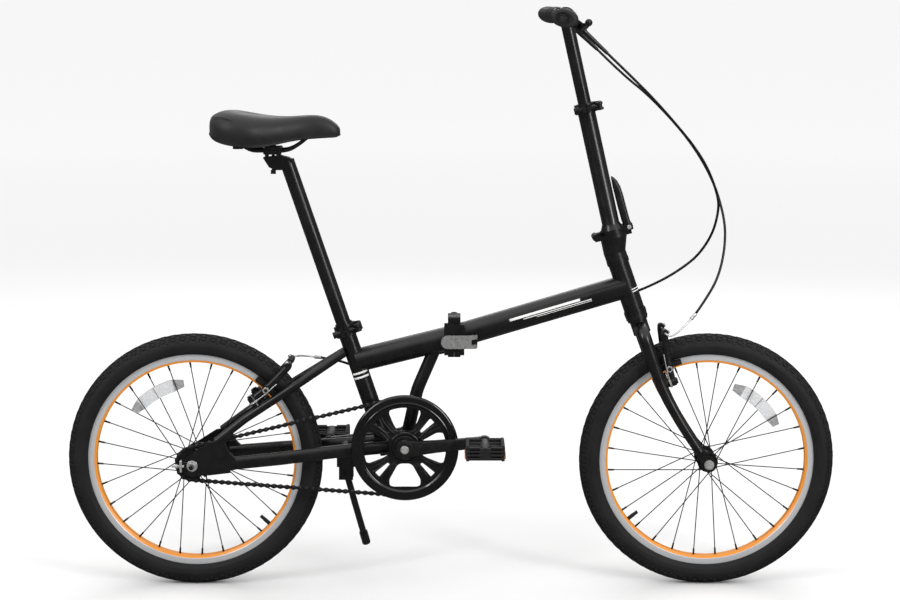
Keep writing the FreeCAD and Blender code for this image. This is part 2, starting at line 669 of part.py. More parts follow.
def clamp(centre, axis, front, inner, outer, height):
    """A split collar with two ears on the right side, drawn together by a rod with a knob behind."""
    away = AXIS_Y * -1
    line = centre + away * (outer + 6)
    band = ring(centre, axis, height, outer, inner)
    ears = [basis_block(centre + front * (s * 5.0) + away * (outer + 5), front, away, axis, 7.6, 14.0, height * 0.7)
            for s in (1, -1)]
    pieces = [band] + ears
    pieces.append(rod(line - front * 20, line + front * 26, 2.5))
    pieces.append(rod(line - front * 24, line - front * 14, 6.5))
    pieces.append(rod(line - front * 14.5, line - front * 8, 4.5))
    pieces.append(rod(line + front * 8, line + front * 17, 4.5))
    pivot = clamp_pivot(centre, front, outer)
    pieces.append(rod(pivot - axis * 8, pivot + axis * 8, 3.0))
    body = fuse(pieces)
    return body.cut(rod(centre - axis * 20, centre + axis * 20, inner))


def clamp_lever(centre, axis, front, outer):
    """A curved handle that wraps the front of the collar and turns on a pin parallel to the tube."""
    pivot = clamp_pivot(centre, front, outer)
    band = ring(centre, axis, 15.0, outer + 11.5, outer + 8.0)
    reach = 80.0
    corners = [centre]
    for degrees in (-42, 0, 35, 70):
        angle = math.radians(degrees)
        corners.append(centre + front * (reach * math.cos(angle)) + AXIS_Y * (reach * math.sin(angle)))
    wedge = Part.Face(Part.makePolygon([p - axis * 10 for p in corners + corners[:1]])).extrude(axis * 20)
    ears = [tube(pivot + axis * (s * 3.1), pivot + axis * (s * 7.5), 6.5, 2.0) for s in (1, -1)]
    body = fuse([band.common(wedge)] + ears)
    return body.cut(rod(pivot - axis * 9, pivot + axis * 9, 3.0 + RUNNING))


# Handlebar.

BAR_END = V(200, -290, 1113.8)
BAR_BEND = V(217, -120, 1114)
BAR_MIDDLE = V(219.3, -40, 1114)
BAR_CENTRE = V(219.3, 0, 1114)
GRIP = unit(BAR_END - BAR_BEND)
PERCH_Y = 150.0


def grip():
    """The right grip: an oval sleeve that swells towards its end."""
    tilt = math.radians(-10.0)
    major = V(math.cos(tilt), 0, math.sin(tilt))
    wires = []
    sizes = ((42, 15.5, 15.0), (50, 18.5, 17.0), (90, 19.5, 16.5), (130, 23.0, 16.0), (158, 26.0, 17.5),
             (168.5, 23.0, 14.5))
    for along, wide, tall in sizes:
        centre = BAR_BEND + GRIP * along + major * (0.12 * (wide - 15.5))
        minor = major.cross(GRIP)
        oval = Part.Ellipse(centre + unit(major - GRIP * major.dot(GRIP)) * wide, centre + minor * tall, centre)
        wires.append(Part.Wire(oval.toShape()))
    return Part.makeLoft(wires, True)


def perch_frame():
    """Right brake lever: directions from the bar to the pivot, and along the pivot pin."""
    at = BAR_BEND + GRIP * 30
    forward = unit(V(27, 0, -20))
    normal = V(-forward.z, 0, forward.x)
    return at, forward, normal, at + forward * 33


def lever_mount():
    at, forward, normal, pivot = perch_frame()
    band = ring(at, GRIP, 16.0, 15.0, 11.1)
    neck = basis_block(at + forward * 18, forward, AXIS_Y, normal, 14.0, 15.0, 17.0)
    cheeks = [basis_block(pivot + normal * (s * 6.5) - forward * 1, forward, AXIS_Y, normal, 18.0, 16.0, 4.0)
              for s in (1, -1)]
    pin = rod(pivot - normal * 9, pivot + normal * 9, 3.0)
    inboard = at + forward * 22 + V(0, 6, 0)
    towards = unit(CABLE_EXIT - inboard)
    barrel = rod(inboard, inboard + towards * 22, 6.0)
    boot = cone(inboard + towards * 16, CABLE_EXIT, 5.0, 3.4)
    body = fuse([band, neck, pin, barrel, boot] + cheeks)
    room = rod(pivot - normal * 4.5, pivot + normal * 4.5, 8.2)
    body = body.cut(room).fuse(rod(pivot - normal * 5, pivot + normal * 5, 3.0)).removeSplitter()
    return body.cut(rod(at - GRIP * 12, at + GRIP * 12, 11.1))


def lever():
    _, forward, normal, pivot = perch_frame()
    boss = rod(pivot - normal * 4.3, pivot + normal * 4.3, 7.5)
    tip = V(248, -243, 1105)
    root = pivot + V(0, -12, 0)
    along = unit(tip - root)
    neck = rod(pivot + V(0, -4, 0), root + along * 4, 4.0)
    blade = stay([root, root + along * 40 + V(3, 0, 0), tip], 60, 13.0, 7.0, V(1, 0, 0))
    knob = Part.makeSphere(6.8, tip)
    body = fuse([boss, neck, blade, knob])
    return body.cut(rod(pivot - normal * 8, pivot + normal * 8, 3.0 + RUNNING))


def build_handlebar():
    post = rod(on_post(820.0), on_post(1112.0), 12.7)
    clasp = ring(BAR_CENTRE, AXIS_Y, 40.0, 17.5, 12.7)
    post = post.fuse(clasp).removeSplitter().cut(rod(BAR_CENTRE - AXIS_Y * 30, BAR_CENTRE + AXIS_Y * 30, 12.7))
    post = post.cut(rod(on_post(815.0), on_post(1088.0), 12.7 - WALL))
    keep("handlepost_upper", post)
    half = [BAR_END, BAR_BEND, BAR_MIDDLE]
    points = half + [V(p.x, -p.y, p.z) for p in reversed(half)]
    bar = bent_bar(points, 120, 11.1)
    bulge = fuse([rod(BAR_CENTRE - AXIS_Y * 26, BAR_CENTRE + AXIS_Y * 26, 12.7),
                  cone(BAR_CENTRE + AXIS_Y * 26, BAR_CENTRE + AXIS_Y * 34, 12.7, 11.1),
                  cone(BAR_CENTRE - AXIS_Y * 26, BAR_CENTRE - AXIS_Y * 34, 12.7, 11.1)])
    hollow = bent_bar(points, 120, 11.1 - WALL)
    keep("handlebar", bar.fuse(bulge).removeSplitter().cut(hollow))
    sleeve = grip().cut(rod(BAR_BEND, BAR_END + GRIP * 0.4, 11.1))
    keep("grip_right", sleeve)
    keep("grip_left", mirrored(sleeve))
    mount = lever_mount()
    keep("brake_lever_mounts", mount, mirrored(mount))
    keep("brake_lever_right", lever())
    keep("brake_lever_left", mirrored(lever()))


# Rim brakes.

def brake_point(frame, up, out, y):
    return frame["base"] + frame["up"] * up + frame["out"] * out + V(0, y, 0)


def brake_arm(frame, side, pad_up):
    """A linear-pull arm with its pivot barrel, pad clamp and head."""
    y = side * (BOSS_Y + 1)
    barrel = rod(brake_point(frame, 0, -5.7, side * BOSS_Y), brake_point(frame, 0, 8.0, side * BOSS_Y), 8.5)
    limb = stay([brake_point(frame, 3, 2, y), brake_point(frame, 45, 6, y), brake_point(frame, 95, 16.5, y)], 80,
                13.0, 9.0)
    head = rod(brake_point(frame, 96.5, 18, side * 34), brake_point(frame, 96.5, 18, side * 48), 6.5)
    seat = rod(brake_point(frame, pad_up, 3.5, side * 36.4), brake_point(frame, pad_up, 3.5, side * 45.6), 8.0)
    body = fuse([barrel, limb, head, seat])
    tools = [rod(brake_point(frame, 0, -8, side * BOSS_Y), brake_point(frame, 0, 12, side * BOSS_Y), 4.0 + RUNNING),
             rod(brake_point(frame, 0, 8, side * BOSS_Y), brake_point(frame, 0, 14, side * BOSS_Y), 7.0),
             rod(brake_point(frame, pad_up, 3.5, side * 20), brake_point(frame, pad_up, 3.5, side * 60), 3.5)]
    return body.cut(fuse(tools))


def brake_pad(frame, side, pad_up, axle_centre):
    """A curved block on a threaded stud with a washer and a nut."""
    middle = brake_point(frame, pad_up, 3.5, 0)
    angle = math.degrees(math.atan2(middle.z - axle_centre.z, middle.x - axle_centre.x))
    low = min(side * 14.5, side * 24.5)
    outer = Part.makeCylinder(209.7, 10.0, axle_centre + V(0, low, 0), AXIS_Y)
    inner = Part.makeCylinder(199.7, 10.0, axle_centre + V(0, low, 0), AXIS_Y)
    corners = [axle_centre, polar(axle_centre, 300, angle - 7.7), polar(axle_centre, 300, angle + 7.7)]
    wedge = slab([(p.x, p.z) for p in corners], low - 1, low + 11)
    block_shape = soften(outer.cut(inner).common(wedge), 2.0, lambda e: e.BoundBox.YLength > 9)
    stud = rod(V(middle.x, side * 24.0, middle.z), V(middle.x, side * 52.0, middle.z), 3.5)
    washer = rod(V(middle.x, side * 24.0, middle.z), V(middle.x, side * 28.0, middle.z), 6.5)
    nut = rod(V(middle.x, side * 45.6, middle.z), V(middle.x, side * 50.5, middle.z), 6.2)
    return fuse([block_shape, stud, washer, nut])


def build_brakes():
    for name, frame, pad_up, axle_centre in (("front", FORK_BRAKE, 27.2, FRONT_AXLE),
                                             ("rear", STAY_BRAKE, 33.6, REAR_AXLE)):
        for side, word in ((1, "left"), (-1, "right")):
            keep(name + "_brake_arm_" + word, brake_arm(frame, side, pad_up))
            keep(name + "_brake_pad_" + word, brake_pad(frame, side, pad_up, axle_centre))


# Brake cables.

CABLE_EXIT = V(290, -138, 1047)


def cable(points, arm_head, noodle_points, near_side):
    """An outer casing, a bent metal guide at its end, and the inner wire with its boot between the arm heads."""
    first = points[0] + unit(points[1] - points[0]) * 1.5
    casing = bent_bar([first] + points[1:], None, CABLE_R)
    start = unit(noodle_points[0] - points[-1])
    ferrule = rod(points[-1], points[-1] + start * 12, 3.3)
    guide = bent_bar([points[-1] + start * 12] + noodle_points, None, 2.0)
    boot = cone(arm_head + V(0, near_side * 33.6, 0), arm_head + V(0, near_side * 8, 0), 6.0, 3.2)
    wire = rod(arm_head + V(0, near_side * 8, 0), arm_head + V(0, -near_side * 33.6, 0), 0.9)
    return [casing, ferrule, guide, fuse([boot, wire])]


def build_cables():
    head = brake_point(FORK_BRAKE, 96.5, 18, 0)
    front = [V(CABLE_EXIT.x, -CABLE_EXIT.y, CABLE_EXIT.z), V(340, 134, 998), V(395, 124, 955), V(470, 100, 873),
             V(515, 68, 796), V(535, 40, 724), V(535, 16, 678), V(525, 0, 627), V(506, -14, 585), V(473, -27, 541)]
    guide = [V(445, -44, 514), V(425, -56, 502), head + V(0, -58, 0), head + V(0, -48.4, 0)]
    keep("front_brake_cable", *cable(front, head, guide, -1))
    head = brake_point(STAY_BRAKE, 96.5, 18, 0)
    rear = [CABLE_EXIT, V(338, -128, 1002), V(384, -105, 957), V(428, -82, 909), V(465, -60, 866), V(493, -42, 823),
            V(514, -24, 771), V(517, -12, 741), V(508, 2, 695), V(483, 16, 652), V(451, 26, 624), V(413, 29.5, 600),
            V(362, 29.5, 577), cable_line(312), cable_line(290), cable_line(100), cable_line(64), V(30, 38, 472),
            V(6, 48, 461), V(-22, 42, 452), cable_line(-64), cable_line(-110), V(-150, 29, 430), V(-190, 29, 430),
            V(-222, 34, 441), V(-257, 36, 446)]
    guide = [V(-284, 44, 448), head + V(11, 59, 3), head + V(0, 59, 0), head + V(0, 48.4, 0)]
    keep("rear_brake_cable", *cable(rear, head, guide, 1))


# Drive.

def rounded_opening(angle, inner, outer, half_in, half_out, corner):
    """A prism through the ring planes: a rounded trapezium that widens outwards, about the crank axis."""
    spread = []
    for radius, half in ((inner, half_in), (outer, half_out)):
        radial = polar(V(0, 0, 0), 1.0, angle)
        across = V(-radial.z, 0, radial.x)
        centre = BB + radial * radius
        spread.append((centre - across * half, centre + across * half))
    points = [spread[0][0], spread[1][0], spread[1][1], spread[0][1]]
    prism = slab([(p.x, p.z) for p in points], -70, -40)
    return soften(prism, corner, lambda e: e.BoundBox.YLength > 20)


def valley(centre, at):
    """The space between two teeth: round at the bottom, then opening outwards."""
    radial = unit(at - centre)
    across = V(-radial.z, 0, radial.x)
    half = ROLLER_R + 0.25
    corners = [at - across * half, at + radial * 8 - across * (half + 2.9), at + radial * 8 + across * (half + 2.9),
               at + across * half]
    opening = slab([(p.x, p.z) for p in corners], CHAIN_Y - 3, CHAIN_Y + 3)
    return opening.fuse(rod(at + V(0, CHAIN_Y - 3, 0), at + V(0, CHAIN_Y + 3, 0), half))


def build_drive():
    teeth = rod(BB + V(0, CHAIN_Y - 1.1, 0), BB + V(0, CHAIN_Y + 1.1, 0), RING_PITCH_R + 3.2)
    valleys = []
    x, z = chain_rollers()[0]
    first = math.degrees(math.atan2(z - BB.z, x - BB.x))
    for index in range(RING_TEETH):
        valleys.append(valley(BB, polar(BB, RING_PITCH_R, first + index * 360.0 / RING_TEETH)))
    teeth = teeth.cut(Part.makeCompound(valleys))
    windows = [rounded_opening(a, 32.0, 79.0, 17.0, 36.0, 9.0) for a in (0, 90, 180, 270)]
    slots = [rounded_opening(a, 43.0, 77.0, 3.0, 6.0, 1.0) for a in (45, 135, 225, 315)]
    keep("chainring", teeth.cut(fuse(windows + slots + [rod(BB + V(0, -80, 0), BB, 16.0)])))

    disc = rod(BB + V(0, -57, 0), BB + V(0, -52, 0), 104.0)
    disc = soften(disc, 2.2, lambda e: e.BoundBox.XLength > 200)
    lip = ring(BB + V(0, -58, 0), AXIS_Y, 3.0, 94.0, 79.5)
    openings = [rounded_opening(a, 30.0, 77.5, 14.0, 33.0, 12.0) for a in (0, 90, 180, 270)]
    guard = disc.fuse(lip).removeSplitter()
    keep("chain_guard_disc", guard.cut(fuse(openings + slots + [rod(BB + V(0, -80, 0), BB, 16.0)])))

    bosses_right = [rod(BB + V(0, -76, 0), BB + V(0, -41, 0), 16.0), rod(BB + V(0, -60, 0), BB + V(0, -57, 0), 24.0)]
    bosses_left = [rod(BB + V(0, -76, 0), BB + V(0, -52, 0), 16.0)]
    arm = crank_arm(PEDAL_RIGHT)
    spindle_bore = rod(BB + V(0, -90, 0), BB + V(0, 0, 0), 8.5)
    keep("crank_arm_right", fuse([arm] + bosses_right).cut(spindle_bore))
    left_arm = fuse([crank_arm(PEDAL_LEFT)] + bosses_left).cut(spindle_bore)
    keep("crank_arm_left", mirrored(left_arm))
    bolts = [rod(BB + V(0, s * 74, 0), BB + V(0, s * 78.5, 0), 6.4) for s in (1, -1)]
    keep("crank_spindle", fuse([rod(BB + V(0, -75, 0), BB + V(0, 75, 0), 8.5)] + bolts))
    cups = []
    for side in (1, -1):
        low, high = sorted((side * 22.0, side * 34.0))
        seat = tube(BB + V(0, low, 0), BB + V(0, high, 0), 17.0, 8.5 + RUNNING)
        low, high = sorted((side * 34.0, side * 38.0))
        cups.append(seat.fuse(tube(BB + V(0, low, 0), BB + V(0, high, 0), 20.0, 8.5 + RUNNING)).removeSplitter())
    keep("bottom_bracket_cups", *cups)

    for word, side, centre in (("right", -1, PEDAL_RIGHT), ("left", 1, PEDAL_LEFT)):
        body = pedal(centre)
        keep("pedal_" + word, body if side < 0 else mirrored(body))

    cog = rod(REAR_AXLE + V(0, CHAIN_Y - 1.1, 0), REAR_AXLE + V(0, CHAIN_Y + 1.1, 0), COG_PITCH_R + 3.0)
    straight = math.sqrt(CENTRES ** 2 - (RING_PITCH_R - COG_PITCH_R) ** 2) / PITCH
    ring_links = (math.pi + 2 * CHAIN_LEAN) / (2 * math.pi / RING_TEETH)
    bottom = -math.pi / 2 + CHAIN_RISE - CHAIN_LEAN
    offset = math.ceil(ring_links + straight) - (ring_links + straight)
    angle = math.degrees(bottom - offset * 2 * math.pi / COG_TEETH)
    valleys = []
    for index in range(COG_TEETH):
        valleys.append(valley(REAR_AXLE, polar(REAR_AXLE, COG_PITCH_R, angle + index * 360.0 / COG_TEETH)))
    drum = rod(REAR_AXLE + V(0, -51, 0), REAR_AXLE + V(0, -42, 0), 25.5)
    cog = cog.cut(Part.makeCompound(valleys)).fuse(drum).removeSplitter()
    keep("freewheel", cog.cut(rod(REAR_AXLE + V(0, -60, 0), REAR_AXLE, 16.5 + RUNNING)))
    boss = ring(REAR_AXLE + V(0, -46.5, 0), AXIS_Y, 11.0, 16.5, AXLE_R + 2)
    shell, race_left, race_right = nodes["rear_hub"].Solids
    keep("rear_hub", shell.fuse(boss).removeSplitter(), race_left, race_right)
    keep("chain", chain())
    plates = []
    for side in (1, -1):
        low, high = sorted((side * 66.0, side * 68.0))
        tongue = slab([(-531, 242), (-500, 238), (-500, 262), (-531, 258)], low, high)
        screw = rod(V(-540, side * 66.5, 250), V(-524, side * 66.5, 250), 2.5)
        plates += [tongue, screw]
    axle_group = fuse([axle(REAR_AXLE, 84.0, 70.0, [(41.3, 61.0), (-61.0, -52.3)])] + plates)
    keep("rear_axle", axle_group.cut(nodes["rear_frame"]))


def crank_arm(end):
    """The right-hand arm, from the bottom bracket to a pedal axle at end."""
    along = unit(end - BB)
    across = V(-along.z, 0, along.x)
    corners = [BB + across * 19.5, end + across * 12.5, end - across * 12.5, BB - across * 19.5]
    bar = slab([(p.x, p.z) for p in corners], -74, -62)
    pieces = [bar, rod(BB + V(0, -76, 0), BB + V(0, -60, 0), 20.0), rod(end + V(0, -75, 0), end + V(0, -62, 0), 13.5)]
    body = fuse(pieces)
    axle_pin = [rod(end + V(0, -176, 0), end + V(0, -70, 0), 4.6), rod(end + V(0, -80, 0), end + V(0, -74, 0), 7.5)]
    return fuse([body] + axle_pin)


def pedal(centre):
    """A resin platform: a frame with two windows round a barrel, and gripping studs on both faces."""
    frame = block(V(-37, -178, -13), V(37, -PEDAL_Y, 13))
    frame = soften(frame, 4.0, lambda e: e.BoundBox.YLength < 1 and e.BoundBox.XLength < 1)
    for x in (-27, 12):
        frame = frame.cut(block(V(x, -170, -20), V(x + 15, -98, 20)))
    hollows = [block(V(x, -160, z), V(x + 5, -108, z + 8)) for x in (-40, 35) for z in (-9.5, 1.5)]
    frame = frame.cut(fuse(hollows))
    studs = []
    for x in (-32, 32):
        for y in (-172, -150, -118, -96):
            studs.append(rod(V(x, y, -15.5), V(x, y, 15.5), 2.2))
    body = fuse([frame] + studs).cut(rod(V(0, -174, 0), V(0, -80, 0), 7.5))
    sleeve = tube(V(0, -174.0, 0), V(0, -PEDAL_Y, 0), 7.5, 4.6 + RUNNING)
    body = body.fuse(sleeve).removeSplitter()
    body = body.cut(rod(V(0, -176.5, 0), V(0, -80, 0), 4.6 + RUNNING))
    body.translate(centre)
    return body


def chain():
    """Rollers held between two continuous bands of side plates."""
    top = math.pi / 2 + CHAIN_RISE + CHAIN_LEAN
    bottom = -math.pi / 2 + CHAIN_RISE - CHAIN_LEAN

    def loop(offset, y):
        ring_r = RING_PITCH_R + offset
        cog_r = COG_PITCH_R + offset
        middle = (top + bottom) / 2

        def at(centre, radius, angle):
            return V(centre.x + radius * math.cos(angle), y, centre.z + radius * math.sin(angle))
        ring_arc = Part.Arc(at(BB, ring_r, top), at(BB, ring_r, middle), at(BB, ring_r, bottom))
        cog_arc = Part.Arc(at(REAR_AXLE, cog_r, bottom), at(REAR_AXLE, cog_r, middle + math.pi),
                           at(REAR_AXLE, cog_r, top))
        low_run = Part.LineSegment(at(BB, ring_r, bottom), at(REAR_AXLE, cog_r, bottom))
        high_run = Part.LineSegment(at(REAR_AXLE, cog_r, top), at(BB, ring_r, top))
        return Part.Wire([ring_arc.toShape(), low_run.toShape(), cog_arc.toShape(), high_run.toShape()])

    bands = []
    for y in (CHAIN_Y - 3.3, CHAIN_Y + 1.7):
        outer = Part.Face(loop(3.6, y)).extrude(V(0, 1.6, 0))
        inner = Part.Face(loop(-3.6, y)).extrude(V(0, 1.6, 0))
        bands.append(outer.cut(inner))
    rollers = [rod(V(x, CHAIN_Y - 1.8, z), V(x, CHAIN_Y + 1.8, z), ROLLER_R) for x, z in chain_rollers()]
    return bands[0].multiFuse([bands[1]] + rollers)


# Stand.

STAND_PIVOT = V(-208, 0, 214)


def build_stand():
    x, z = STAND_PIVOT.x, STAND_PIVOT.z
    head = block(V(x - 18, 22, 228), V(x + 17, 54, 262))
    cheeks = [block(V(x - 14, y, z - 12), V(x + 14, y + 3.8, 232)) for y in (22.0, 50.2)]
    pin = rod(V(x, 22, z), V(x, 55, z), 4.0)
    keep("kickstand_bracket", fuse([head, pin] + cheeks).cut(nodes["rear_frame"]))
    boss = rod(V(x, 26.1, z), V(x, 49.9, z), 11.9)
    path = [V(x, 38, z), V(x + 7, 39, z - 26), V(-192, 48, 150), V(-172, 93, 60)]
    leg = bent_bar(path, 60, 6.5)
    along = unit(path[-1] - path[-2])
    foot = rod(path[-1] - along * 24, path[-1] + along * 4, 8.5)
    keep("kickstand", fuse([boss, leg, foot]).cut(rod(V(x, 20, z), V(x, 60, z), 4.0 + RUNNING)))


# Seat.

def saddle_section(x, half, top, low):
    """A closed outline across the saddle at x."""
    side = [(0.0, top), (0.5 * half, top - 1.6), (0.84 * half, top - 7.0), (half, top - 0.42 * (top - low)),
            (0.95 * half, low + 3.0), (0.8 * half, low), (0.45 * half, low + 3.0)]
    points = [V(x, y, z) for y, z in side] + [V(x, 0, low + 4.5)] + [V(x, -y, z) for y, z in reversed(side[1:])]
    curve = Part.BSplineCurve()
    curve.interpolate(Points=points, PeriodicFlag=True)
    return Part.Wire(curve.toShape())


def build_seat():
    post = tube(on_seat(408.0), on_seat(836.0), SEAT_POST_R, SEAT_POST_R - WALL)
    lid = rod(on_seat(830.0), on_seat(838.0), SEAT_POST_R)
    head = slab([(-304, 838), (-312, 844), (-328, 848), (-362, 844), (-350, 825), (-336, 820), (-322, 820)], -13, 13)
    bolt = rod(V(-343, 0, 812), V(-343, 0, 872), 3.0)
    keep("seatpost", fuse([post, lid, head]).cut(bolt))
    jaw = block(V(-360, -27, 851), V(-326, 27, 865))
    jaw = soften(jaw, 3.0, lambda e: e.BoundBox.YLength > 40)
    feet = [block(V(-358, -12, 840), V(-352, 12, 852)), block(V(-336, -12, 840), V(-328, 12, 852))]
    nut = rod(V(-343, 0, 865), V(-343, 0, 870), 5.5)
    bolt_head = rod(V(-343, 0, 812), V(-343, 0, 819.5), 5.0)
    rail_bores = [rod(V(-380, y, 858), V(-300, y, 858), 3.5) for y in (22, -22)]
    clamp_body = fuse([jaw, bolt, nut, bolt_head] + feet).cut(fuse(rail_bores)).cut(nodes["seatpost"])
    keep("saddle_clamp", clamp_body)

    stations = ((-462, 20, 914, 899), (-452, 46, 928, 888), (-432, 70, 934, 876), (-402, 79, 931, 868.5),
                (-370, 73, 925, 866), (-340, 57, 922, 870), (-310, 39, 922.5, 876), (-280, 28, 925.5, 880),
                (-250, 23, 924, 882), (-228, 18, 915, 883.5), (-213, 9, 902, 886))
    cushion = Part.makeLoft([saddle_section(*s) for s in stations], True)
    keep("saddle", cushion)
    rails = []
    for side in (1, -1):
        path = [V(-420, side * 26, 882), V(-400, side * 24, 868), V(-382, side * 22, 858), V(-312, side * 22, 858),
                V(-286, side * 17, 874), V(-262, side * 12, 896)]
        rails.append(bent_bar(path, None, 3.5))
        rails.append(rod(V(-408, side * 26, 862), V(-408, side * 26, 890), 10.0))
    rails.append(rod(V(-408, -26, 866), V(-408, 26, 866), 3.0))
    keep("saddle_rails", fuse(rails).cut(cushion))

    collar = on_seat(507.0)
    keep("seat_clamp_collar", clamp(collar, SEAT, SEAT_FRONT, 17.0, 21.5, 22.0))
    keep("seat_clamp_lever", clamp_lever(collar, SEAT, SEAT_FRONT, 21.5))


def build_latch():
    """The frame latch: a flat handle with a rounded end, hinged by two eyes on a vertical pin."""
    low, high = 476.0, 502.0
    middle = (low + high) / 2
    handle = block(V(-6, -43, low), V(LATCH_PIN.x - 6, -39, high))
    tip = rod(V(-6, -43, middle), V(-6, -39, middle), (high - low) / 2)
    eyes = []
    for z_low, z_high in ((low, 483.8), (494.2, high)):
        eyes.append(rod(V(LATCH_PIN.x, LATCH_PIN.y, z_low), V(LATCH_PIN.x, LATCH_PIN.y, z_high), 5.5))
        eyes.append(block(V(LATCH_PIN.x - 8, -43, z_low), V(LATCH_PIN.x, LATCH_PIN.y, z_high)))
    body = fuse([handle, tip] + eyes)
    keep("frame_latch_lever", body.cut(rod(V(LATCH_PIN.x, LATCH_PIN.y, 470), V(LATCH_PIN.x, LATCH_PIN.y, 510),
                                           3.0 + RUNNING)))


def main():
    os.makedirs("parts", exist_ok=True)
    for build in (build_wheels, build_frame, build_fork, build_handlepost, build_handlebar, build_brakes,
                  build_cables, build_drive, build_stand, build_seat, build_latch):
        build()
    for name, shape in nodes.items():
        shape.exportStep("parts/" + name + ".step")
    print(len(nodes), "parts written")


main()
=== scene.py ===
from math import acos, asin, atan2, copysign, cos, degrees, pi, radians, sin, sqrt, tan

import bmesh
import bpy
from mathutils import Matrix, Vector


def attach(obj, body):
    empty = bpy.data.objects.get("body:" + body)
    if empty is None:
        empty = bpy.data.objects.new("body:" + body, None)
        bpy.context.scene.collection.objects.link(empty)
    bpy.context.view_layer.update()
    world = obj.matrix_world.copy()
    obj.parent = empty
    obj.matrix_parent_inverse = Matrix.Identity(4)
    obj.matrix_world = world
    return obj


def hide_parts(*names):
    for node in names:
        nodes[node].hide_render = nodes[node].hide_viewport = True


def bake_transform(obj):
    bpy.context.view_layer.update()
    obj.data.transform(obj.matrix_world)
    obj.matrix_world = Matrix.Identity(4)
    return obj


# A single-speed folding bicycle. Lengths in this script are in millimetres and are turned into metres where a
# mesh is made. +X is forward, +Y the rider's left, +Z up; the ground is Z = 0, midway between the axles.

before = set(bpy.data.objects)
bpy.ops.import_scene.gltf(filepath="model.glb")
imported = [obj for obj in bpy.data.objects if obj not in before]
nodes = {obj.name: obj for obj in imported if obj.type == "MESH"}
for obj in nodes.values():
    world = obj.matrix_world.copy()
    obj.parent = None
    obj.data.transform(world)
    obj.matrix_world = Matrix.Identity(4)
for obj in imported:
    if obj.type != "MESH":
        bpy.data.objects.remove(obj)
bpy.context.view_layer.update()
MM = 0.001

TAU = 2 * pi
Y = Vector((0, 1, 0))
SIDES = ((1, "left"), (-1, "right"))
WHEEL_R = 250.0
TYRE_HALF = 23.5
CROWN_R = WHEEL_R - TYRE_HALF
REAR = Vector((-502, 0, WHEEL_R))
FRONT = Vector((502, 0, WHEEL_R))
STEER_TILT = radians(19.3)
POST_TILT = radians(12.8)
SEAT_TILT = radians(18.64)
MAIN_TILT = radians(16.57)
MAIN_R = 23.2
SEAT_TUBE_R = 17.0
HEAD_TUBE_R = 20.2
SEAT_JOINT = 446.0


def leaned(tilt):
    """Straight up, leaned back by tilt."""
    return Vector((-sin(tilt), 0, cos(tilt)))


def raised(tilt):
    """Straight ahead, raised by tilt."""
    return Vector((cos(tilt), 0, sin(tilt)))


STEER, STEER_FRONT = leaned(STEER_TILT), raised(STEER_TILT)
POST, POST_FRONT = leaned(POST_TILT), raised(POST_TILT)
SEAT = leaned(SEAT_TILT)
MAIN = raised(MAIN_TILT)


def on_main(x):
    return Vector((x, 0, 491.4 + x * tan(MAIN_TILT)))


def on_seat(z):
    return Vector((-229.6 + (578.9 - z) * tan(SEAT_TILT), 0, z))


def on_steer(along):
    return Vector((342.8, 0, 589.3)) + STEER * along


def on_post(z):
    return Vector((231.9 + (1058.3 - z) * tan(POST_TILT), 0, z))


# Helpers.

def put(name, data):
    """A new object in the scene."""
    made = bpy.data.objects.new(name, data)
    bpy.context.scene.collection.objects.link(made)
    return made


def crisp_edges(made, angle):
    made.modifiers.new("crisp", "EDGE_SPLIT").split_angle = radians(angle)


def subdivide(made, levels):
    soft = made.modifiers.new("soft", "SUBSURF")
    soft.levels = soft.render_levels = levels


def around(u, v, turn):
    """The direction at an angle from u towards v."""
    return u * cos(turn) + v * sin(turn)


def basis(axis):
    """An axis of length one and two directions square to it."""
    axis = Vector(axis).normalized()
    u = axis.orthogonal().normalized()
    return axis, u, axis.cross(u)


def polar(centre, radius, angle, y=0.0):
    """A point at an angle in degrees about a line along Y."""
    a = radians(angle)
    return Vector((centre.x + radius * cos(a), centre.y + y, centre.z + radius * sin(a)))


# Materials.

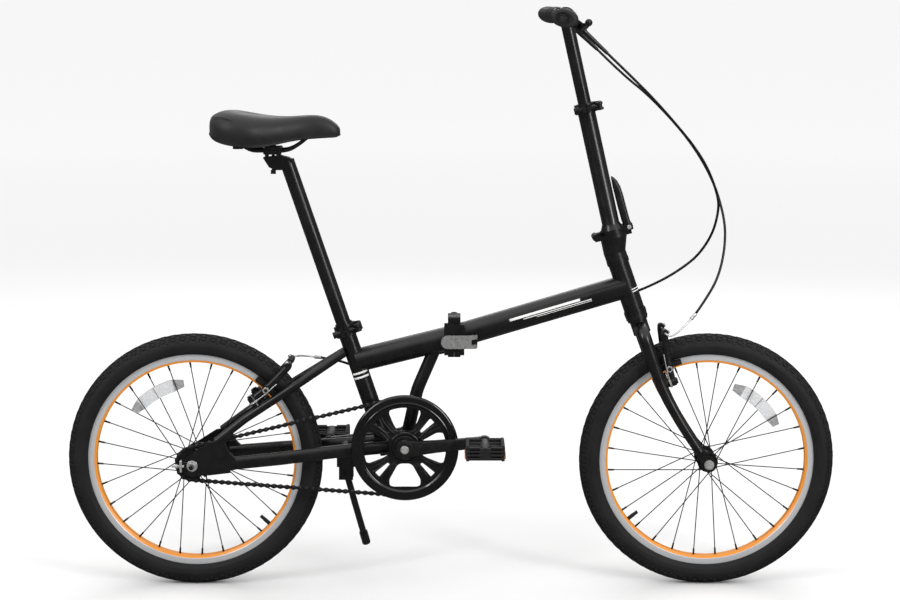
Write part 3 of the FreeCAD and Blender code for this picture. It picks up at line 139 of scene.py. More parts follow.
class Shader:
    """A material's node tree with short ways to add nodes to it."""

    def __init__(self, name, color, roughness, metallic=0.0, specular=0.5, coat=0.0):
        self.material = bpy.data.materials.new(name)
        self.material.use_nodes = True
        self.tree = self.material.node_tree
        self.body = self.tree.nodes["Principled BSDF"]
        self.color = color
        self.roughness = roughness
        for socket, value in (("Base Color", (*color, 1)), ("Roughness", roughness), ("Metallic", metallic),
                              ("Specular IOR Level", specular), ("Coat Weight", coat),
                              ("Coat Roughness", 0.1)):
            self.body.inputs[socket].default_value = value
        self.place = self.add("ShaderNodeTexCoord").outputs["Object"]
        self.height = None

    def add(self, kind, **values):
        node = self.tree.nodes.new(kind)
        for key, value in values.items():
            setattr(node, key, value)
        return node

    def link(self, source, target):
        self.tree.links.new(source, target)

    def feed(self, socket, source):
        """Drives a socket of the main shader."""
        self.link(source, self.body.inputs[socket])

    def math(self, operation, a, b=0.0):
        node = self.add("ShaderNodeMath", operation=operation)
        for socket, value in zip(node.inputs, (a, b)):
            if isinstance(value, (int, float)):
                socket.default_value = value
            else:
                self.link(value, socket)
        return node.outputs[0]

    def noise(self, scale, detail, stretch=(1, 1, 1)):
        """Noise of a size given in patches per millimetre."""
        mapping = self.add("ShaderNodeMapping")
        mapping.inputs["Scale"].default_value = stretch
        self.link(self.place, mapping.inputs["Vector"])
        node = self.add("ShaderNodeTexNoise")
        node.inputs["Scale"].default_value = scale * 1000
        node.inputs["Detail"].default_value = detail
        self.link(mapping.outputs[0], node.inputs["Vector"])
        return node.outputs["Fac"]

    def cells(self, scale, feature="DISTANCE_TO_EDGE"):
        node = self.add("ShaderNodeTexVoronoi", feature=feature)
        node.inputs["Scale"].default_value = scale * 1000
        self.link(self.place, node.inputs["Vector"])
        return node.outputs["Distance"]

    def radius(self, centre):
        """Distance in millimetres from a line along Y through centre."""
        split = self.add("ShaderNodeSeparateXYZ")
        self.link(self.place, split.inputs[0])
        x = self.math("SUBTRACT", split.outputs[0], centre.x * MM)
        z = self.math("SUBTRACT", split.outputs[2], centre.z * MM)
        square = self.math("ADD", self.math("MULTIPLY", x, x), self.math("MULTIPLY", z, z))
        return self.math("MULTIPLY", self.math("SQRT", square), 1000.0)

    def ramp(self, factor, stops):
        """Blends between two stops, each a position and a colour."""
        node = self.add("ShaderNodeValToRGB")
        for element, (position, color) in zip(node.color_ramp.elements, stops):
            element.position = position
            element.color = (*color, 1)
        self.link(factor, node.inputs["Fac"])
        return node.outputs["Color"]

    def remap(self, factor, low, high, to_low=0.0, to_high=1.0):
        """Takes the range from low to high to the one from to_low to to_high."""
        node = self.add("ShaderNodeMapRange")
        for socket, value in (("From Min", low), ("From Max", high), ("To Min", to_low), ("To Max", to_high)):
            node.inputs[socket].default_value = value
        self.link(factor, node.inputs["Value"])
        return node.outputs[0]

    def vary(self, factor, color_change, roughness_change):
        """Lets factor lighten and darken the colour and change the roughness."""
        low = [c * (1 - color_change) for c in self.color]
        high = [min(1.0, c * (1 + color_change)) for c in self.color]
        self.feed("Base Color", self.ramp(factor, [(0.3, low), (0.7, high)]))
        smooth = max(0.03, self.roughness - roughness_change)
        rough = min(1.0, self.roughness + roughness_change)
        self.feed("Roughness", self.remap(factor, 0.3, 0.7, smooth, rough))

    def bump(self, factor, strength, distance):
        """Raises the surface by factor; distance is in millimetres."""
        node = self.add("ShaderNodeBump")
        node.inputs["Strength"].default_value = strength
        node.inputs["Distance"].default_value = distance * MM
        self.link(factor, node.inputs["Height"])
        if self.height is not None:
            self.link(self.height, node.inputs["Normal"])
        self.height = node.outputs["Normal"]
        self.feed("Normal", self.height)
        return self


def satin_paint():
    s = Shader("satin_black_paint", (0.0055, 0.0055, 0.0057), 0.27)
    s.vary(s.noise(0.035, 4), 0.22, 0.06)
    return s.bump(s.noise(0.9, 2), 0.12, 0.12).bump(s.noise(7.0, 1), 0.05, 0.05).material


def black_alloy():
    s = Shader("black_anodised_alloy", (0.009, 0.009, 0.0094), 0.32, metallic=0.2)
    s.vary(s.noise(0.09, 5), 0.3, 0.1)
    return s.bump(s.noise(6.0, 2), 0.16, 0.05).material


def gloss_black():
    s = Shader("gloss_black_guard", (0.004, 0.004, 0.0042), 0.13, specular=0.6)
    s.vary(s.noise(0.05, 5), 0.25, 0.05)
    return s.bump(s.noise(0.35, 2), 0.06, 0.15).material


def turned_metal(name, color, roughness, scale=2.0, metallic=1.0):
    s = Shader(name, color, roughness, metallic=metallic)
    s.vary(s.noise(scale, 3, (0.15, 1.0, 0.15)), 0.12, 0.08)
    return s.bump(s.noise(scale * 3, 2), 0.08, 0.03).material


def rim_metal(name, centre):
    """Machined brake tracks, with an orange painted bed below them."""
    orange, alloy = (0.78, 0.27, 0.018), (0.56, 0.565, 0.575)
    s = Shader(name, (0.5, 0.505, 0.51), 0.36, metallic=1.0)
    radius = s.radius(centre)
    track = s.remap(radius, 198.2, 198.7)
    s.feed("Base Color", s.ramp(track, [(0.0, orange), (1.0, alloy)]))
    s.feed("Metallic", s.math("MULTIPLY", track, 0.35))
    lines = s.math("SINE", s.math("MULTIPLY", radius, 11.0))
    fine = s.math("MULTIPLY", s.math("MULTIPLY", lines, track), 0.5)
    s.feed("Roughness", s.math("ADD", s.math("MULTIPLY", s.noise(0.4, 3), 0.2), 0.24))
    return s.bump(fine, 0.25, 0.04).bump(s.noise(3.0, 2), 0.05, 0.03).material


def tyre_rubber(name, centre):
    s = Shader(name, (0.0095, 0.0095, 0.0097), 0.62, specular=0.25)
    dust = s.math("ADD", s.math("MULTIPLY", s.noise(0.03, 5), 0.6), s.math("MULTIPLY", s.noise(0.8, 3), 0.4))
    s.vary(dust, 0.35, 0.1)
    threads = s.math("SINE", s.math("MULTIPLY", s.radius(centre), 4.2))
    return s.bump(threads, 0.22, 0.12).bump(s.noise(2.2, 3), 0.3, 0.12).material


def plain_rubber(name, color, roughness, grain, strength):
    s = Shader(name, color, roughness, specular=0.3)
    s.vary(s.noise(0.12, 4), 0.25, 0.08)
    return s.bump(s.noise(grain, 3), strength, 0.12).material


def saddle_vinyl():
    """Pebbled synthetic leather over foam."""
    s = Shader("saddle_vinyl", (0.0105, 0.0105, 0.0112), 0.46, specular=0.34)
    s.body.inputs["Sheen Weight"].default_value = 0.08
    s.vary(s.noise(0.03, 4), 0.22, 0.07)
    return s.bump(s.cells(1.1), 0.35, 0.16).bump(s.noise(3.5, 3), 0.22, 0.06).material


def clear_lens():
    s = Shader("reflector_lens", (0.6, 0.61, 0.62), 0.16, coat=0.2)
    s.vary(s.cells(0.38, "F1"), 0.12, 0.05)
    return s.bump(s.cells(0.42), 0.5, 0.5).material


def amber_lens():
    s = Shader("pedal_reflector_amber", (0.72, 0.2, 0.015), 0.18, specular=0.6, coat=0.4)
    s.vary(s.cells(0.5, "F1"), 0.2, 0.05)
    return s.bump(s.cells(0.5), 0.5, 0.4).material


def decal_white():
    s = Shader("printed_white", (0.8, 0.8, 0.79), 0.42)
    s.vary(s.noise(0.5, 4), 0.05, 0.06)
    return s.bump(s.noise(6.0, 2), 0.05, 0.02).material


def moulded_resin(name, color, roughness):
    s = Shader(name, color, roughness, specular=0.35)
    s.vary(s.noise(0.2, 4), 0.25, 0.08)
    return s.bump(s.noise(2.6, 3), 0.3, 0.1).material


PAINT = satin_paint()
ALLOY = black_alloy()
GLOSS = gloss_black()
SILVER = turned_metal("bare_alloy", (0.3, 0.3, 0.295), 0.3, 1.2, 0.5)
STEEL = turned_metal("zinc_steel", (0.5, 0.5, 0.49), 0.26, 2.0, 0.55)
DARK_STEEL = turned_metal("oiled_chain_steel", (0.062, 0.062, 0.063), 0.38)
SPOKE_BLACK = turned_metal("black_spokes", (0.03, 0.03, 0.031), 0.34)
GRIP_RUBBER = plain_rubber("grip_rubber", (0.015, 0.015, 0.0157), 0.6, 2.0, 0.4)
RUBBER = plain_rubber("black_rubber", (0.009, 0.009, 0.009), 0.58, 1.5, 0.3)
CASING = plain_rubber("cable_casing", (0.006, 0.006, 0.0063), 0.32, 0.8, 0.1)
VINYL = saddle_vinyl()
LENS = clear_lens()
LENS_END = moulded_resin("reflector_clip_grey", (0.3, 0.3, 0.305), 0.4)
AMBER = amber_lens()
WHITE = decal_white()
RESIN = moulded_resin("pedal_resin", (0.0095, 0.0095, 0.01), 0.48)
PAN = moulded_resin("saddle_pan", (0.0095, 0.0095, 0.0095), 0.42)

# CAD nodes that aren't black alloy.
FINISH = {
    "rear_frame": PAINT, "front_frame": PAINT, "fork": PAINT, "handlepost_base": PAINT,
    "handlepost_lower": PAINT, "handlepost_upper": PAINT, "seatpost": PAINT, "chain_guard_disc": GLOSS,
    "frame_latch_lever": SILVER, "chainring": DARK_STEEL, "chain": DARK_STEEL, "freewheel": DARK_STEEL,
    "crank_spindle": STEEL, "pedal_left": RESIN, "pedal_right": RESIN,
}
for word, centre in (("front", FRONT), ("rear", REAR)):
    FINISH[word + "_rim"] = rim_metal(word + "_rim_metal", centre)
    FINISH[word + "_axle"] = STEEL
    FINISH[word + "_spokes"] = SPOKE_BLACK
    for node in ("_inner_tube", "_brake_pad_left", "_brake_pad_right"):
        FINISH[word + node] = RUBBER
CAST = ("kickstand_bracket", "frame_latch_lever", "handlepost_base", "handlepost_collar", "seat_clamp_collar",
        "saddle_clamp", "brake_lever_mounts")
for name, node in nodes.items():
    node.data.materials.clear()
    node.data.materials.append(FINISH.get(name, ALLOY))
    normals = node.data.attributes.get("custom_normal")
    if normals:
        node.data.attributes.remove(normals)
    node.data.shade_smooth()
    weld = node.modifiers.new("weld", "WELD")
    weld.merge_threshold = 0.00001
    if name in CAST:
        rounded = node.modifiers.new("rounded", "BEVEL")
        rounded.width = 1.1 * MM
        rounded.segments = 2
        rounded.limit_method = "ANGLE"
        rounded.angle_limit = radians(40)
        node.modifiers.new("flat_faces", "WEIGHTED_NORMAL")
    else:
        crisp_edges(node, 34)


# Mesh building.

def dress(name, mesh, material, crisp):
    """An object with a smooth mesh in one material."""
    mesh.materials.append(material)
    mesh.shade_smooth()
    made = put(name, mesh)
    if crisp:
        crisp_edges(made, crisp)
    return made


def mesh_of(curve):
    """The mesh that a curve makes; the curve itself is deleted."""
    holder = bpy.data.objects.new("curve", curve)
    mesh = bpy.data.meshes.new_from_object(holder)
    bpy.data.objects.remove(holder)
    bpy.data.curves.remove(curve)
    return mesh


class Build:
    """Collects points, in millimetres, and faces of one piece."""

    def __init__(self):
        self.verts = []
        self.faces = []

    def rings(self, rings, closed=False):
        """Joins equal rings of points with quads; the last joins the first if closed, or else both are capped."""
        base = len(self.verts)
        count = len(rings[0])
        last = base + (len(rings) - 1) * count
        for near in range(base, last, count):
            self.band(near, near + count, count)
        if closed:
            self.band(last, base, count)
        else:
            self.faces.append([base + i for i in reversed(range(count))])
            self.faces.append([last + i for i in range(count)])
        self.verts += [Vector(v) for ring in rings for v in ring]

    def band(self, near, far, count):
        """Quads between the rings of count points that start at near and at far."""
        for i in range(count):
            j = (i + 1) % count
            self.faces.append([near + i, near + j, far + j, far + i])

    def lathe(self, start, axis, profile, sides=24):
        """Turns (distance along axis, radius) pairs about a line."""
        axis, u, v = basis(axis)
        self.rings([[Vector(start) + axis * d + around(u, v, TAU * i / sides) * r for i in range(sides)]
                    for d, r in profile])

    def sweep(self, points, radius, sides=12):
        """A round tube along a polyline."""
        points = [Vector(p) for p in points]
        normal = (points[1] - points[0]).normalized().orthogonal().normalized()
        rings = []
        for before, point, after in zip(points[:1] + points, points, points[1:] + points[-1:]):
            tangent = (after - before).normalized()
            normal = (normal - tangent * normal.dot(tangent)).normalized()
            side = tangent.cross(normal)
            rings.append([point + around(normal, side, TAU * k / sides) * radius for k in range(sides)])
        self.rings(rings)

    def mirror(self):
        """Swaps left and right."""
        self.verts = [Vector((v.x, -v.y, v.z)) for v in self.verts]
        self.faces = [face[::-1] for face in self.faces]

    def make(self, name, material, crisp=34):
        mesh = bpy.data.meshes.new(name)
        mesh.from_pydata([v * MM for v in self.verts], [], self.faces)
        mesh.validate()
        shape = bmesh.new()
        shape.from_mesh(mesh)
        bmesh.ops.recalc_face_normals(shape, faces=shape.faces)
        shape.to_mesh(mesh)
        shape.free()
        mesh.update()
        return dress(name, mesh, material, crisp)

    def show(self, name, material, body, crisp=34, slot=None, replaces=None):
        """Makes the piece and fixes it to a body; replaces is the CAD node that it stands for."""
        made = self.make(name, material, crisp)
        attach(made, body)
        if replaces:
            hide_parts(replaces)
        return made


def smooth_line(points):
    """Points along the NURBS spline that has points as its control points, in millimetres."""
    curve = bpy.data.curves.new("route", "CURVE")
    curve.dimensions = "3D"
    curve.resolution_u = 10
    spline = curve.splines.new("NURBS")
    spline.points.add(len(points) - 1)
    for target, point in zip(spline.points, points):
        target.co = (*(Vector(point) * MM), 1)
    spline.order_u = 3
    spline.use_endpoint_u = True
    mesh = mesh_of(curve)
    found = [v.co / MM for v in mesh.vertices]
    bpy.data.meshes.remove(mesh)
    return found


# Wheels.

def octagon(x0, x1, y0, y1, edge):
    """A rectangle with its corners cut back by edge."""
    return [(x0 + edge, y0), (x1 - edge, y0), (x1, y0 + edge), (x1, y1 - edge),
            (x1 - edge, y1), (x0 + edge, y1), (x0, y1 - edge), (x0, y0 + edge)]


def tread_block(build, centre, theta, phi_a, phi_b, half, skew, top):
    """A tread block between two angles round the casing, half a length each way along the tyre."""
    rings = []
    middle = (phi_a + phi_b) / 2
    for rad, grow in ((21.0, 1.18), (top - 0.55, 1.0), (top, 0.84)):
        ring = []
        reach = (phi_b - phi_a) / 2 * grow
        for along, phi in ((-1, middle - reach), (1, middle - reach), (1, middle), (1, middle + reach),
                           (-1, middle + reach), (-1, middle)):
            lean = skew * (phi - middle)
            p = radians(phi)
            r = CROWN_R + rad * cos(p)
            turn = theta + degrees((along * half * grow + lean) / WHEEL_R)
            ring.append(polar(centre, r, turn, rad * sin(p)))
        rings.append(ring)
    build.rings(rings)


def tyre(word, centre):
    """Casing with ribbed sidewalls and a block tread."""
    build = Build()
    profile = []
    for step in range(49):
        phi = -132.0 + step * 5.5
        p = radians(phi)
        rad = 21.7 if abs(phi) < 54 else 21.7 + min(1.0, (abs(phi) - 54) / 14) * 1.6
        if 84 < abs(phi) < 92 or 108 < abs(phi) < 114:
            rad += 0.45
        profile.append((rad * sin(p), CROWN_R + rad * cos(p)))
    segments = 180
    profile += [(7.0, 209.0), (-7.0, 209.0)]
    build.rings([[polar(centre, r, 360.0 * k / segments, y) for k in range(segments)] for y, r in profile],
                closed=True)
    pitches = 76
    half_step = 180.0 / pitches
    for k in range(pitches):
        theta = 360.0 * k / pitches
        for side in (1, -1):
            first, second = (theta, theta + half_step)[::side]
            for at, low, high, half, skew, top in (
                    (first, 3, 15, 5.6, 0.16 * side, 23.5), (second, 19, 33, 5.0, -0.2 * side, 23.6),
                    (theta, 37, 55, 3.4, 0.08, 23.7), (theta + half_step, 39, 66, 3.0, -0.06, 23.8)):
                tread_block(build, centre, at, *sorted((side * low, side * high)), half, skew, top)
    name = word + "_tread_tyre"
    build.show(name, tyre_rubber(name + "_rubber", centre), word + "_wheel", crisp=40, slot="tyre_rubber",
               replaces=word + "_tyre")


def wheel_reflector(word, centre, angle):
    """A curved lens with tapered grey ends, clipped between the spokes."""
    lens, ends = Build(), Build()
    middle, reach = 152.0, 58.0
    steps = 8
    for build, low, high, thick in ((lens, -0.66, -0.02, 3.6), (lens, 0.02, 0.66, 3.6),
                                    (ends, -1.0, -0.64, 3.1), (ends, 0.64, 1.0, 3.1), (ends, -0.03, 0.03, 2.6)):
        rings = []
        for k in range(steps + 1):
            t = low + (high - low) * k / steps
            turn = angle + degrees(t * reach / middle)
            w = 12.2 - max(0.0, abs(t) - 0.62) / 0.38 * 5.4
            rings.append([polar(centre, middle + r, turn, y) for r, y in octagon(-w, w, -thick, thick, 0.9)])
        build.rings(rings)
    name = word + "_wheel_reflector"
    lens.show(name, LENS, word + "_wheel", crisp=30, replaces=word + "_reflector")
    ends.show(name + "_clips", LENS_END, word + "_wheel", crisp=30)


for word, centre, reflector_angle in (("front", FRONT, 48.0), ("rear", REAR, 120.0)):
    tyre(word, centre)
    wheel_reflector(word, centre, reflector_angle)


# Drive.

PITCH = 12.7
RING_R = PITCH / 2 / sin(pi / 48)
COG_R = PITCH / 2 / sin(pi / 16)
CHAIN_Y = -46.0
BB = Vector((-89.32, 0, 283.5))
CRANK_TURN = radians(5.4)
CRANK_REACH = 155.0


def chain_loop(count):
    """Roller centres evenly spaced round the chainring and the sprocket."""
    gap = (BB - REAR).length
    lean = asin((RING_R - COG_R) / gap)
    rise = atan2(BB.z - REAR.z, BB.x - REAR.x)
    top, bottom = degrees(pi / 2 + rise + lean), degrees(-pi / 2 + rise - lean)
    corners = [polar(BB, RING_R, bottom), polar(REAR, COG_R, bottom),
               polar(REAR, COG_R, top), polar(BB, RING_R, top)]
    run = (corners[1] - corners[0]).length
    ring_arc = RING_R * radians(top - bottom)
    cog_arc = COG_R * radians(360 - (top - bottom))
    parts = ((ring_arc, lambda s: polar(BB, RING_R, top - degrees(s / RING_R))),
             (run, lambda s: corners[0].lerp(corners[1], s / run)),
             (cog_arc, lambda s: polar(REAR, COG_R, bottom - degrees(s / COG_R))),
             (run, lambda s: corners[2].lerp(corners[3], s / run)))
    total = sum(length for length, place in parts)
    found = []
    for k in range(count):
        along = total * k / count
        for length, place in parts:
            if along < length:
                found.append(place(along))
                break
            along -= length
    return found


def link_plate(build, a, b, y, thick, end_r, waist_r):
    """A side plate with two round ends and a waist."""
    along = (b - a).normalized()
    across = Vector((-along.z, 0, along.x))
    length = (b - a).length
    outline = []
    for end, first, waist in ((a, 70, -waist_r), (b, -110, waist_r)):
        outline += [end + around(along, across, radians(first + 220 * k / 8)) * end_r for k in range(9)]
        outline.append(a + along * length / 2 + across * waist)
    centre = (a + b) / 2
    rings = []
    for inset, depth in ((0.93, -0.5), (1.0, -0.3), (1.0, 0.3), (0.93, 0.5)):
        rings.append([centre + (p - centre) * inset + Y * (y + depth * thick) for p in outline])
    build.rings(rings)


def roller_chain():
    rollers = chain_loop(98)
    build = Build()
    for k, (a, b) in enumerate(zip(rollers, rollers[1:] + rollers[:1])):
        for side in (1, -1):
            y = CHAIN_Y + side * (3.45 if k % 2 else 2.35)
            link_plate(build, a, b, y, 1.0, 4.15, 1.9)
        build.lathe(a + Y * (CHAIN_Y - 1.8), Y, [(0, 3.9), (3.6, 3.9)], 16)
        build.lathe(a + Y * (CHAIN_Y - 4.4), Y, [(0, 1.2), (0.3, 1.7), (8.5, 1.7), (8.8, 1.2)], 10)
    build.show("roller_chain", DARK_STEEL, "rear_frame", crisp=30, replaces="chain")


roller_chain()


def flat_plate(outlines, y, thick, bevel):
    """A plate in the XZ plane with rounded edges; the first outline is its rim and the others are holes."""
    curve = bpy.data.curves.new("plate", "CURVE")
    curve.dimensions = "2D"
    curve.fill_mode = "BOTH"
    curve.extrude = (thick / 2 - bevel) * MM
    curve.bevel_depth = bevel * MM
    curve.bevel_resolution = 3
    curve.offset = -bevel * MM
    for outline in outlines:
        spline = curve.splines.new("POLY")
        spline.points.add(len(outline) - 1)
        spline.use_cyclic_u = True
        for target, (x, z) in zip(spline.points, outline):
            target.co = (x * MM, z * MM, 0, 1)
    mesh = mesh_of(curve)
    mesh.transform(Matrix.Translation((0, y * MM, 0)) @ Matrix.Rotation(radians(90), 4, "X"))
    return mesh


def rounded_polygon(corners, radius):
    """Corners (x, z) with arcs of the given radius."""
    found = []
    steps = 6
    count = len(corners)
    for k in range(count):
        before, at, after = (Vector(corners[(k + d) % count]) for d in (-1, 0, 1))
        back, ahead = (before - at).normalized(), (after - at).normalized()
        half = acos(max(-1, min(1, back.dot(ahead)))) / 2
        reach = min(radius / tan(half), 0.48 * min((before - at).length, (after - at).length))
        r = reach * tan(half)
        centre = at + (back + ahead).normalized() * (r / sin(half))
        start, end = at + back * reach - centre, at + ahead * reach - centre
        turn = start.angle_signed(end)
        for step in range(steps + 1):
            spin = Matrix.Rotation(-turn * step / steps, 2)
            found.append(tuple(centre + spin @ start))
    return found


def guard_disc():
    """The chain guard: a bulging outer ring, four wide openings and four slots between raised ribs."""
    def circle(r, count):
        return [(BB.x + r * cos(TAU * k / count), BB.z + r * sin(TAU * k / count)) for k in range(count)]

    def turned(points, a):
        return [(BB.x + r * cos(a) - t * sin(a), BB.z + r * sin(a) + t * cos(a)) for r, t in points]

    window = [(31, -13), (62, -30), (77, -30), (80.5, 0), (77, 30), (62, 30), (31, 13)]
    narrow = [(44, -3), (76, -6.5), (76, 6.5), (44, 3)]
    quarters = [radians(angle) for angle in (0, 90, 180, 270)]
    diagonals = [radians(angle) for angle in (45, 135, 225, 315)]
    outlines = [circle(84.0, 120), circle(16.3, 48)]
    outlines += [rounded_polygon(turned(window, a), 13) for a in quarters]
    outlines += [rounded_polygon(turned(narrow, a), 2.2) for a in diagonals]
    spider = dress("chain_guard_spider", flat_plate(outlines, -54.6, 4.2, 1.0), GLOSS, 40)
    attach(spider, "crankset")
    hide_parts("chain_guard_disc")
    rim = Build()
    profile = [(-56.6, 79.5), (-56.9, 83.4), (-57.9, 85.4), (-59.4, 86.8), (-60.0, 88.0), (-59.5, 89.2),
               (-58.7, 90.2), (-58.6, 91.6), (-59.2, 94.0), (-59.5, 97.0), (-59.1, 100.0), (-58.1, 102.4),
               (-56.6, 103.9), (-55.0, 104.4), (-53.0, 104.2), (-51.6, 102.0), (-51.8, 84.0), (-54.0, 80.5)]
    rim.rings([[polar(BB, r, 360.0 * k / 144, y) for k in range(144)] for y, r in profile], closed=True)
    rim.show("chain_guard_rim", GLOSS, "crankset", crisp=50)
    ribs = Build()
    for side in (1, -1):
        for offset, flare, tall in ((6.4, 5.0, 1.25), (11.5, 9.0, 1.0)):
            line = []
            for k in range(9):
                t = k / 8
                line.append((34 + 44 * t, side * (offset + flare * t * t - 1.6 * sin(pi * t))))
            for a in diagonals:
                ribs.sweep([(x, -57.0, z) for x, z in turned(line, a)], tall, 10)
    ribs.lathe(BB + Y * -56, -Y, [(0, 31.0), (1.6, 30.6), (2.2, 29.5), (2.2, 26.0), (0.6, 25.0)], 72)
    ribs.show("chain_guard_ribs", GLOSS, "crankset", crisp=50)


guard_disc()


def crank_arm(word, side):
    """A tapering forged arm with round ends, its bosses and the pedal axle. side is -1 on the right."""
    arm = Build()
    outer, inner = 74.6, 62.0
    rings = []
    for along, half, edge in ((2, 16.6, 3.2), (16, 15.6, 3.4), (34, 13.6, 3.6), (60, 12.3, 3.6),
                              (100, 11.6, 3.6), (140, 11.4, 3.6), (153, 11.2, 3.2)):
        ring = []
        for y, z, inward, order in ((inner, -half, 1, 1), (outer, -half, -1, -1), (outer, half, -1, 1),
                                    (inner, half, 1, -1)):
            up = 1 if z < 0 else -1
            ring += [(along, y, z + edge * up), (along, y + edge * 0.3 * inward, z + edge * 0.3 * up),
                     (along, y + edge * inward, z)][::order]
        rings.append(ring)
    arm.rings(rings)
    inner_boss = 41.0 if side < 0 else 52.0
    outer_boss = [(0, 18.4), (13.6, 18.4), (15.4, 17.2), (16.2, 14.6), (16.2, 9.0), (14.6, 8.6)]
    pedal_eye = [(0, 11.6), (0.8, 12.4), (11.6, 12.4), (13.2, 11.2), (13.6, 9.0)]
    arm.lathe((0, 60, 0), Y, outer_boss, 48)
    arm.lathe((0, inner_boss, 0), Y, [(0, 15.4), (0.6, 16.0), (59.0 - inner_boss, 16.0)], 40)
    if side < 0:
        arm.lathe((0, 57, 0), Y, [(0, 24.0), (2.2, 24.0), (3.0, 23.2)], 48)
    arm.lathe((CRANK_REACH, 61.4, 0), Y, pedal_eye, 40)
    arm.lathe((CRANK_REACH, 70, 0), Y, [(0, 4.6), (104.6, 4.6), (105.4, 3.8)], 20)
    turn = CRANK_TURN + (0 if side < 0 else pi)
    spin = Matrix.Rotation(-turn, 3, "Y")
    arm.verts = [BB + spin @ v for v in arm.verts]
    if side < 0:
        arm.mirror()
    arm.show("forged_crank_" + word, ALLOY, "crankset", crisp=38, replaces="crank_arm_" + word)


crank_arm("right", -1)
crank_arm("left", 1)


def chamfered(build, low, high, edge):
    """A block between two corners, their y in either order, with its edges cut back."""
    (x0, y0, z0), (x1, y1, z1) = low, high
    y0, y1 = sorted((y0, y1))
    rings = []
    for y, inset in ((y0, edge), (y0 + edge, 0.0), (y1 - edge, 0.0), (y1, edge)):
        outline = octagon(x0 + inset, x1 - inset, z0 + inset, z1 - inset, edge)
        rings.append([(x, y, z) for x, z in outline])
    build.rings(rings)


def pedal(word, side):
    """A resin cage pedal: barrel, toothed cage, ribs and two amber reflectors. side is -1 on the right."""
    centre = polar(BB, CRANK_REACH, degrees(CRANK_TURN + (0 if side < 0 else pi)))
    half = 36.5
    body, lens, metal = Build(), Build(), Build()
    for x in (-37.2, 29.8):
        chamfered(body, (x, 92, -6), (x + 7.4, 176, 12.6), 1.2)
        for y in range(98, 176, 9):
            chamfered(body, (x + 0.8, y, 12), (x + 6.6, y + 4.4, 15.3), 0.8)
            chamfered(body, (x + 0.8, y, -15.3), (x + 6.6, y + 4.4, -11), 0.8)
        for y in (94, 164):
            chamfered(body, (x + 0.6, y, -13), (x + 6.8, y + 10, -5), 1.0)
    for y0, y1 in ((90.5, 96.0), (171.5, 177.6)):
        for x0, z0, x1, z1 in ((-half, -13, half, -8.6), (-half, -5.6, half, -1.6), (-half, 1.4, half, 5.2),
                               (-half, 8.2, -10, 13), (10, 8.2, half, 13)):
            chamfered(body, (x0, y0, z0), (x1, y1, z1), 0.9)
        for x in (-36, 30):
            chamfered(body, (x, y0 + 0.8, -12), (x + 6, y1 - 0.8, 12), 0.8)
        chamfered(body, (-11, y0 + 0.6, -12.6), (11, y1 - 0.6, 10.2), 0.8)
    for y in (112, 134, 156):
        chamfered(body, (-31, y - 2, -8), (31, y + 2, 8), 1.0)
    barrel = [(0, 10.5), (2, 12.2), (8, 12.2), (12, 10.6), (72, 10.6), (77, 12.0), (84, 12.0), (86.4, 10.0)]
    body.lathe((0, 91, 0), Y, barrel, 32)
    for y in (96.6, 168.4):
        chamfered(body, (-34.5, y, -11.8), (34.5, y + 2.6, 11.8), 0.7)
    for x in (-39.0, 35.2):
        chamfered(lens, (x, 105, -13.0), (x + 3.8, 166, -5.6), 0.7)
    metal.lathe((0, 74, 0), Y, [(0, 7.4), (4, 7.4), (4.2, 8.6), (8, 8.6), (8.4, 6.2), (18, 5.4)], 24)
    for build in (body, lens, metal):
        if side < 0:
            build.mirror()
        build.verts = [v + centre for v in build.verts]
    cage = f"pedal_{word}"
    body.show(cage + "_cage", RESIN, cage, replaces=cage)
    lens.show(cage + "_reflectors", AMBER, cage)
    metal.show(cage + "_axle_flats", STEEL, "crankset")


pedal("right", -1)
pedal("left", 1)


def rear_axle_parts():
    """Axle, washers, nuts and the chain tensioners at the rear dropouts."""
    metal, dark, plates = Build(), Build(), Build()
    dark.lathe(REAR - Y * 84, Y, [(0, 3.6), (0.8, 4.7), (167.2, 4.7), (168, 3.6)], 20)
    for side in (1, -1):
        out = Y * side
        metal.lathe(REAR + out * 66.2, out, [(0, 10.6), (1.6, 10.6), (2.0, 10.0), (2.0, 5.0)], 36)
        hex_nut(metal, REAR + out * 68.2, out, 15.0, 7.6)
        metal.lathe((-541, side * 69.5, WHEEL_R), (1, 0, 0), [(0, 1.8), (0.6, 2.4), (24, 2.4)], 14)
        hex_nut(metal, (-529.5, side * 69.5, WHEEL_R), (-1, 0, 0), 8.0, 4.5)
        chamfered(plates, (-523, side * 66.1, WHEEL_R - 7.5), (-503, side * 68.0, WHEEL_R + 7.5), 0.6)
        chamfered(metal, (-525.4, side * 61.0, WHEEL_R - 11.5), (-521.4, side * 74.0, WHEEL_R + 11.5), 0.9)
    metal.show("rear_axle_nuts", STEEL, "rear_frame", replaces="rear_axle")
    dark.show("rear_axle_rod", DARK_STEEL, "rear_frame")
    plates.show("rear_tensioner_plates", ALLOY, "rear_frame")


# Cables: casing pieces that each bend across one joint.
# Cables: casing pieces, split where they cross a joint.

CASING_R = 2.5
HEAD_UP, HEAD_OUT = 96.5, 18.0
FORK_BASE = on_steer(-197.0) + STEER_FRONT * 22.0
STAY_UP = Vector((248, 0, 167)).normalized()
STAY_OUT = Vector((-STAY_UP.z, 0, STAY_UP.x))
STAY_BASE = Vector((-384.5, 0, 374.0))


def main_cable(x):
    """The casing's place below and to the left of the main tube."""
    if x > 6.4:
        point, along = on_main(x), MAIN
    else:
        start = on_seat(SEAT_JOINT)
        run = on_main(0.4) - start
        point, along = start + run * ((x - start.x) / run.x), run.normalized()
    down = Vector((along.z, 0, -along.x))
    return point + (down + Y) * ((MAIN_R + 3.9) / sqrt(2))


def nearest(line, point):
    return min(range(len(line)), key=lambda i: (line[i] - Vector(point)).length)


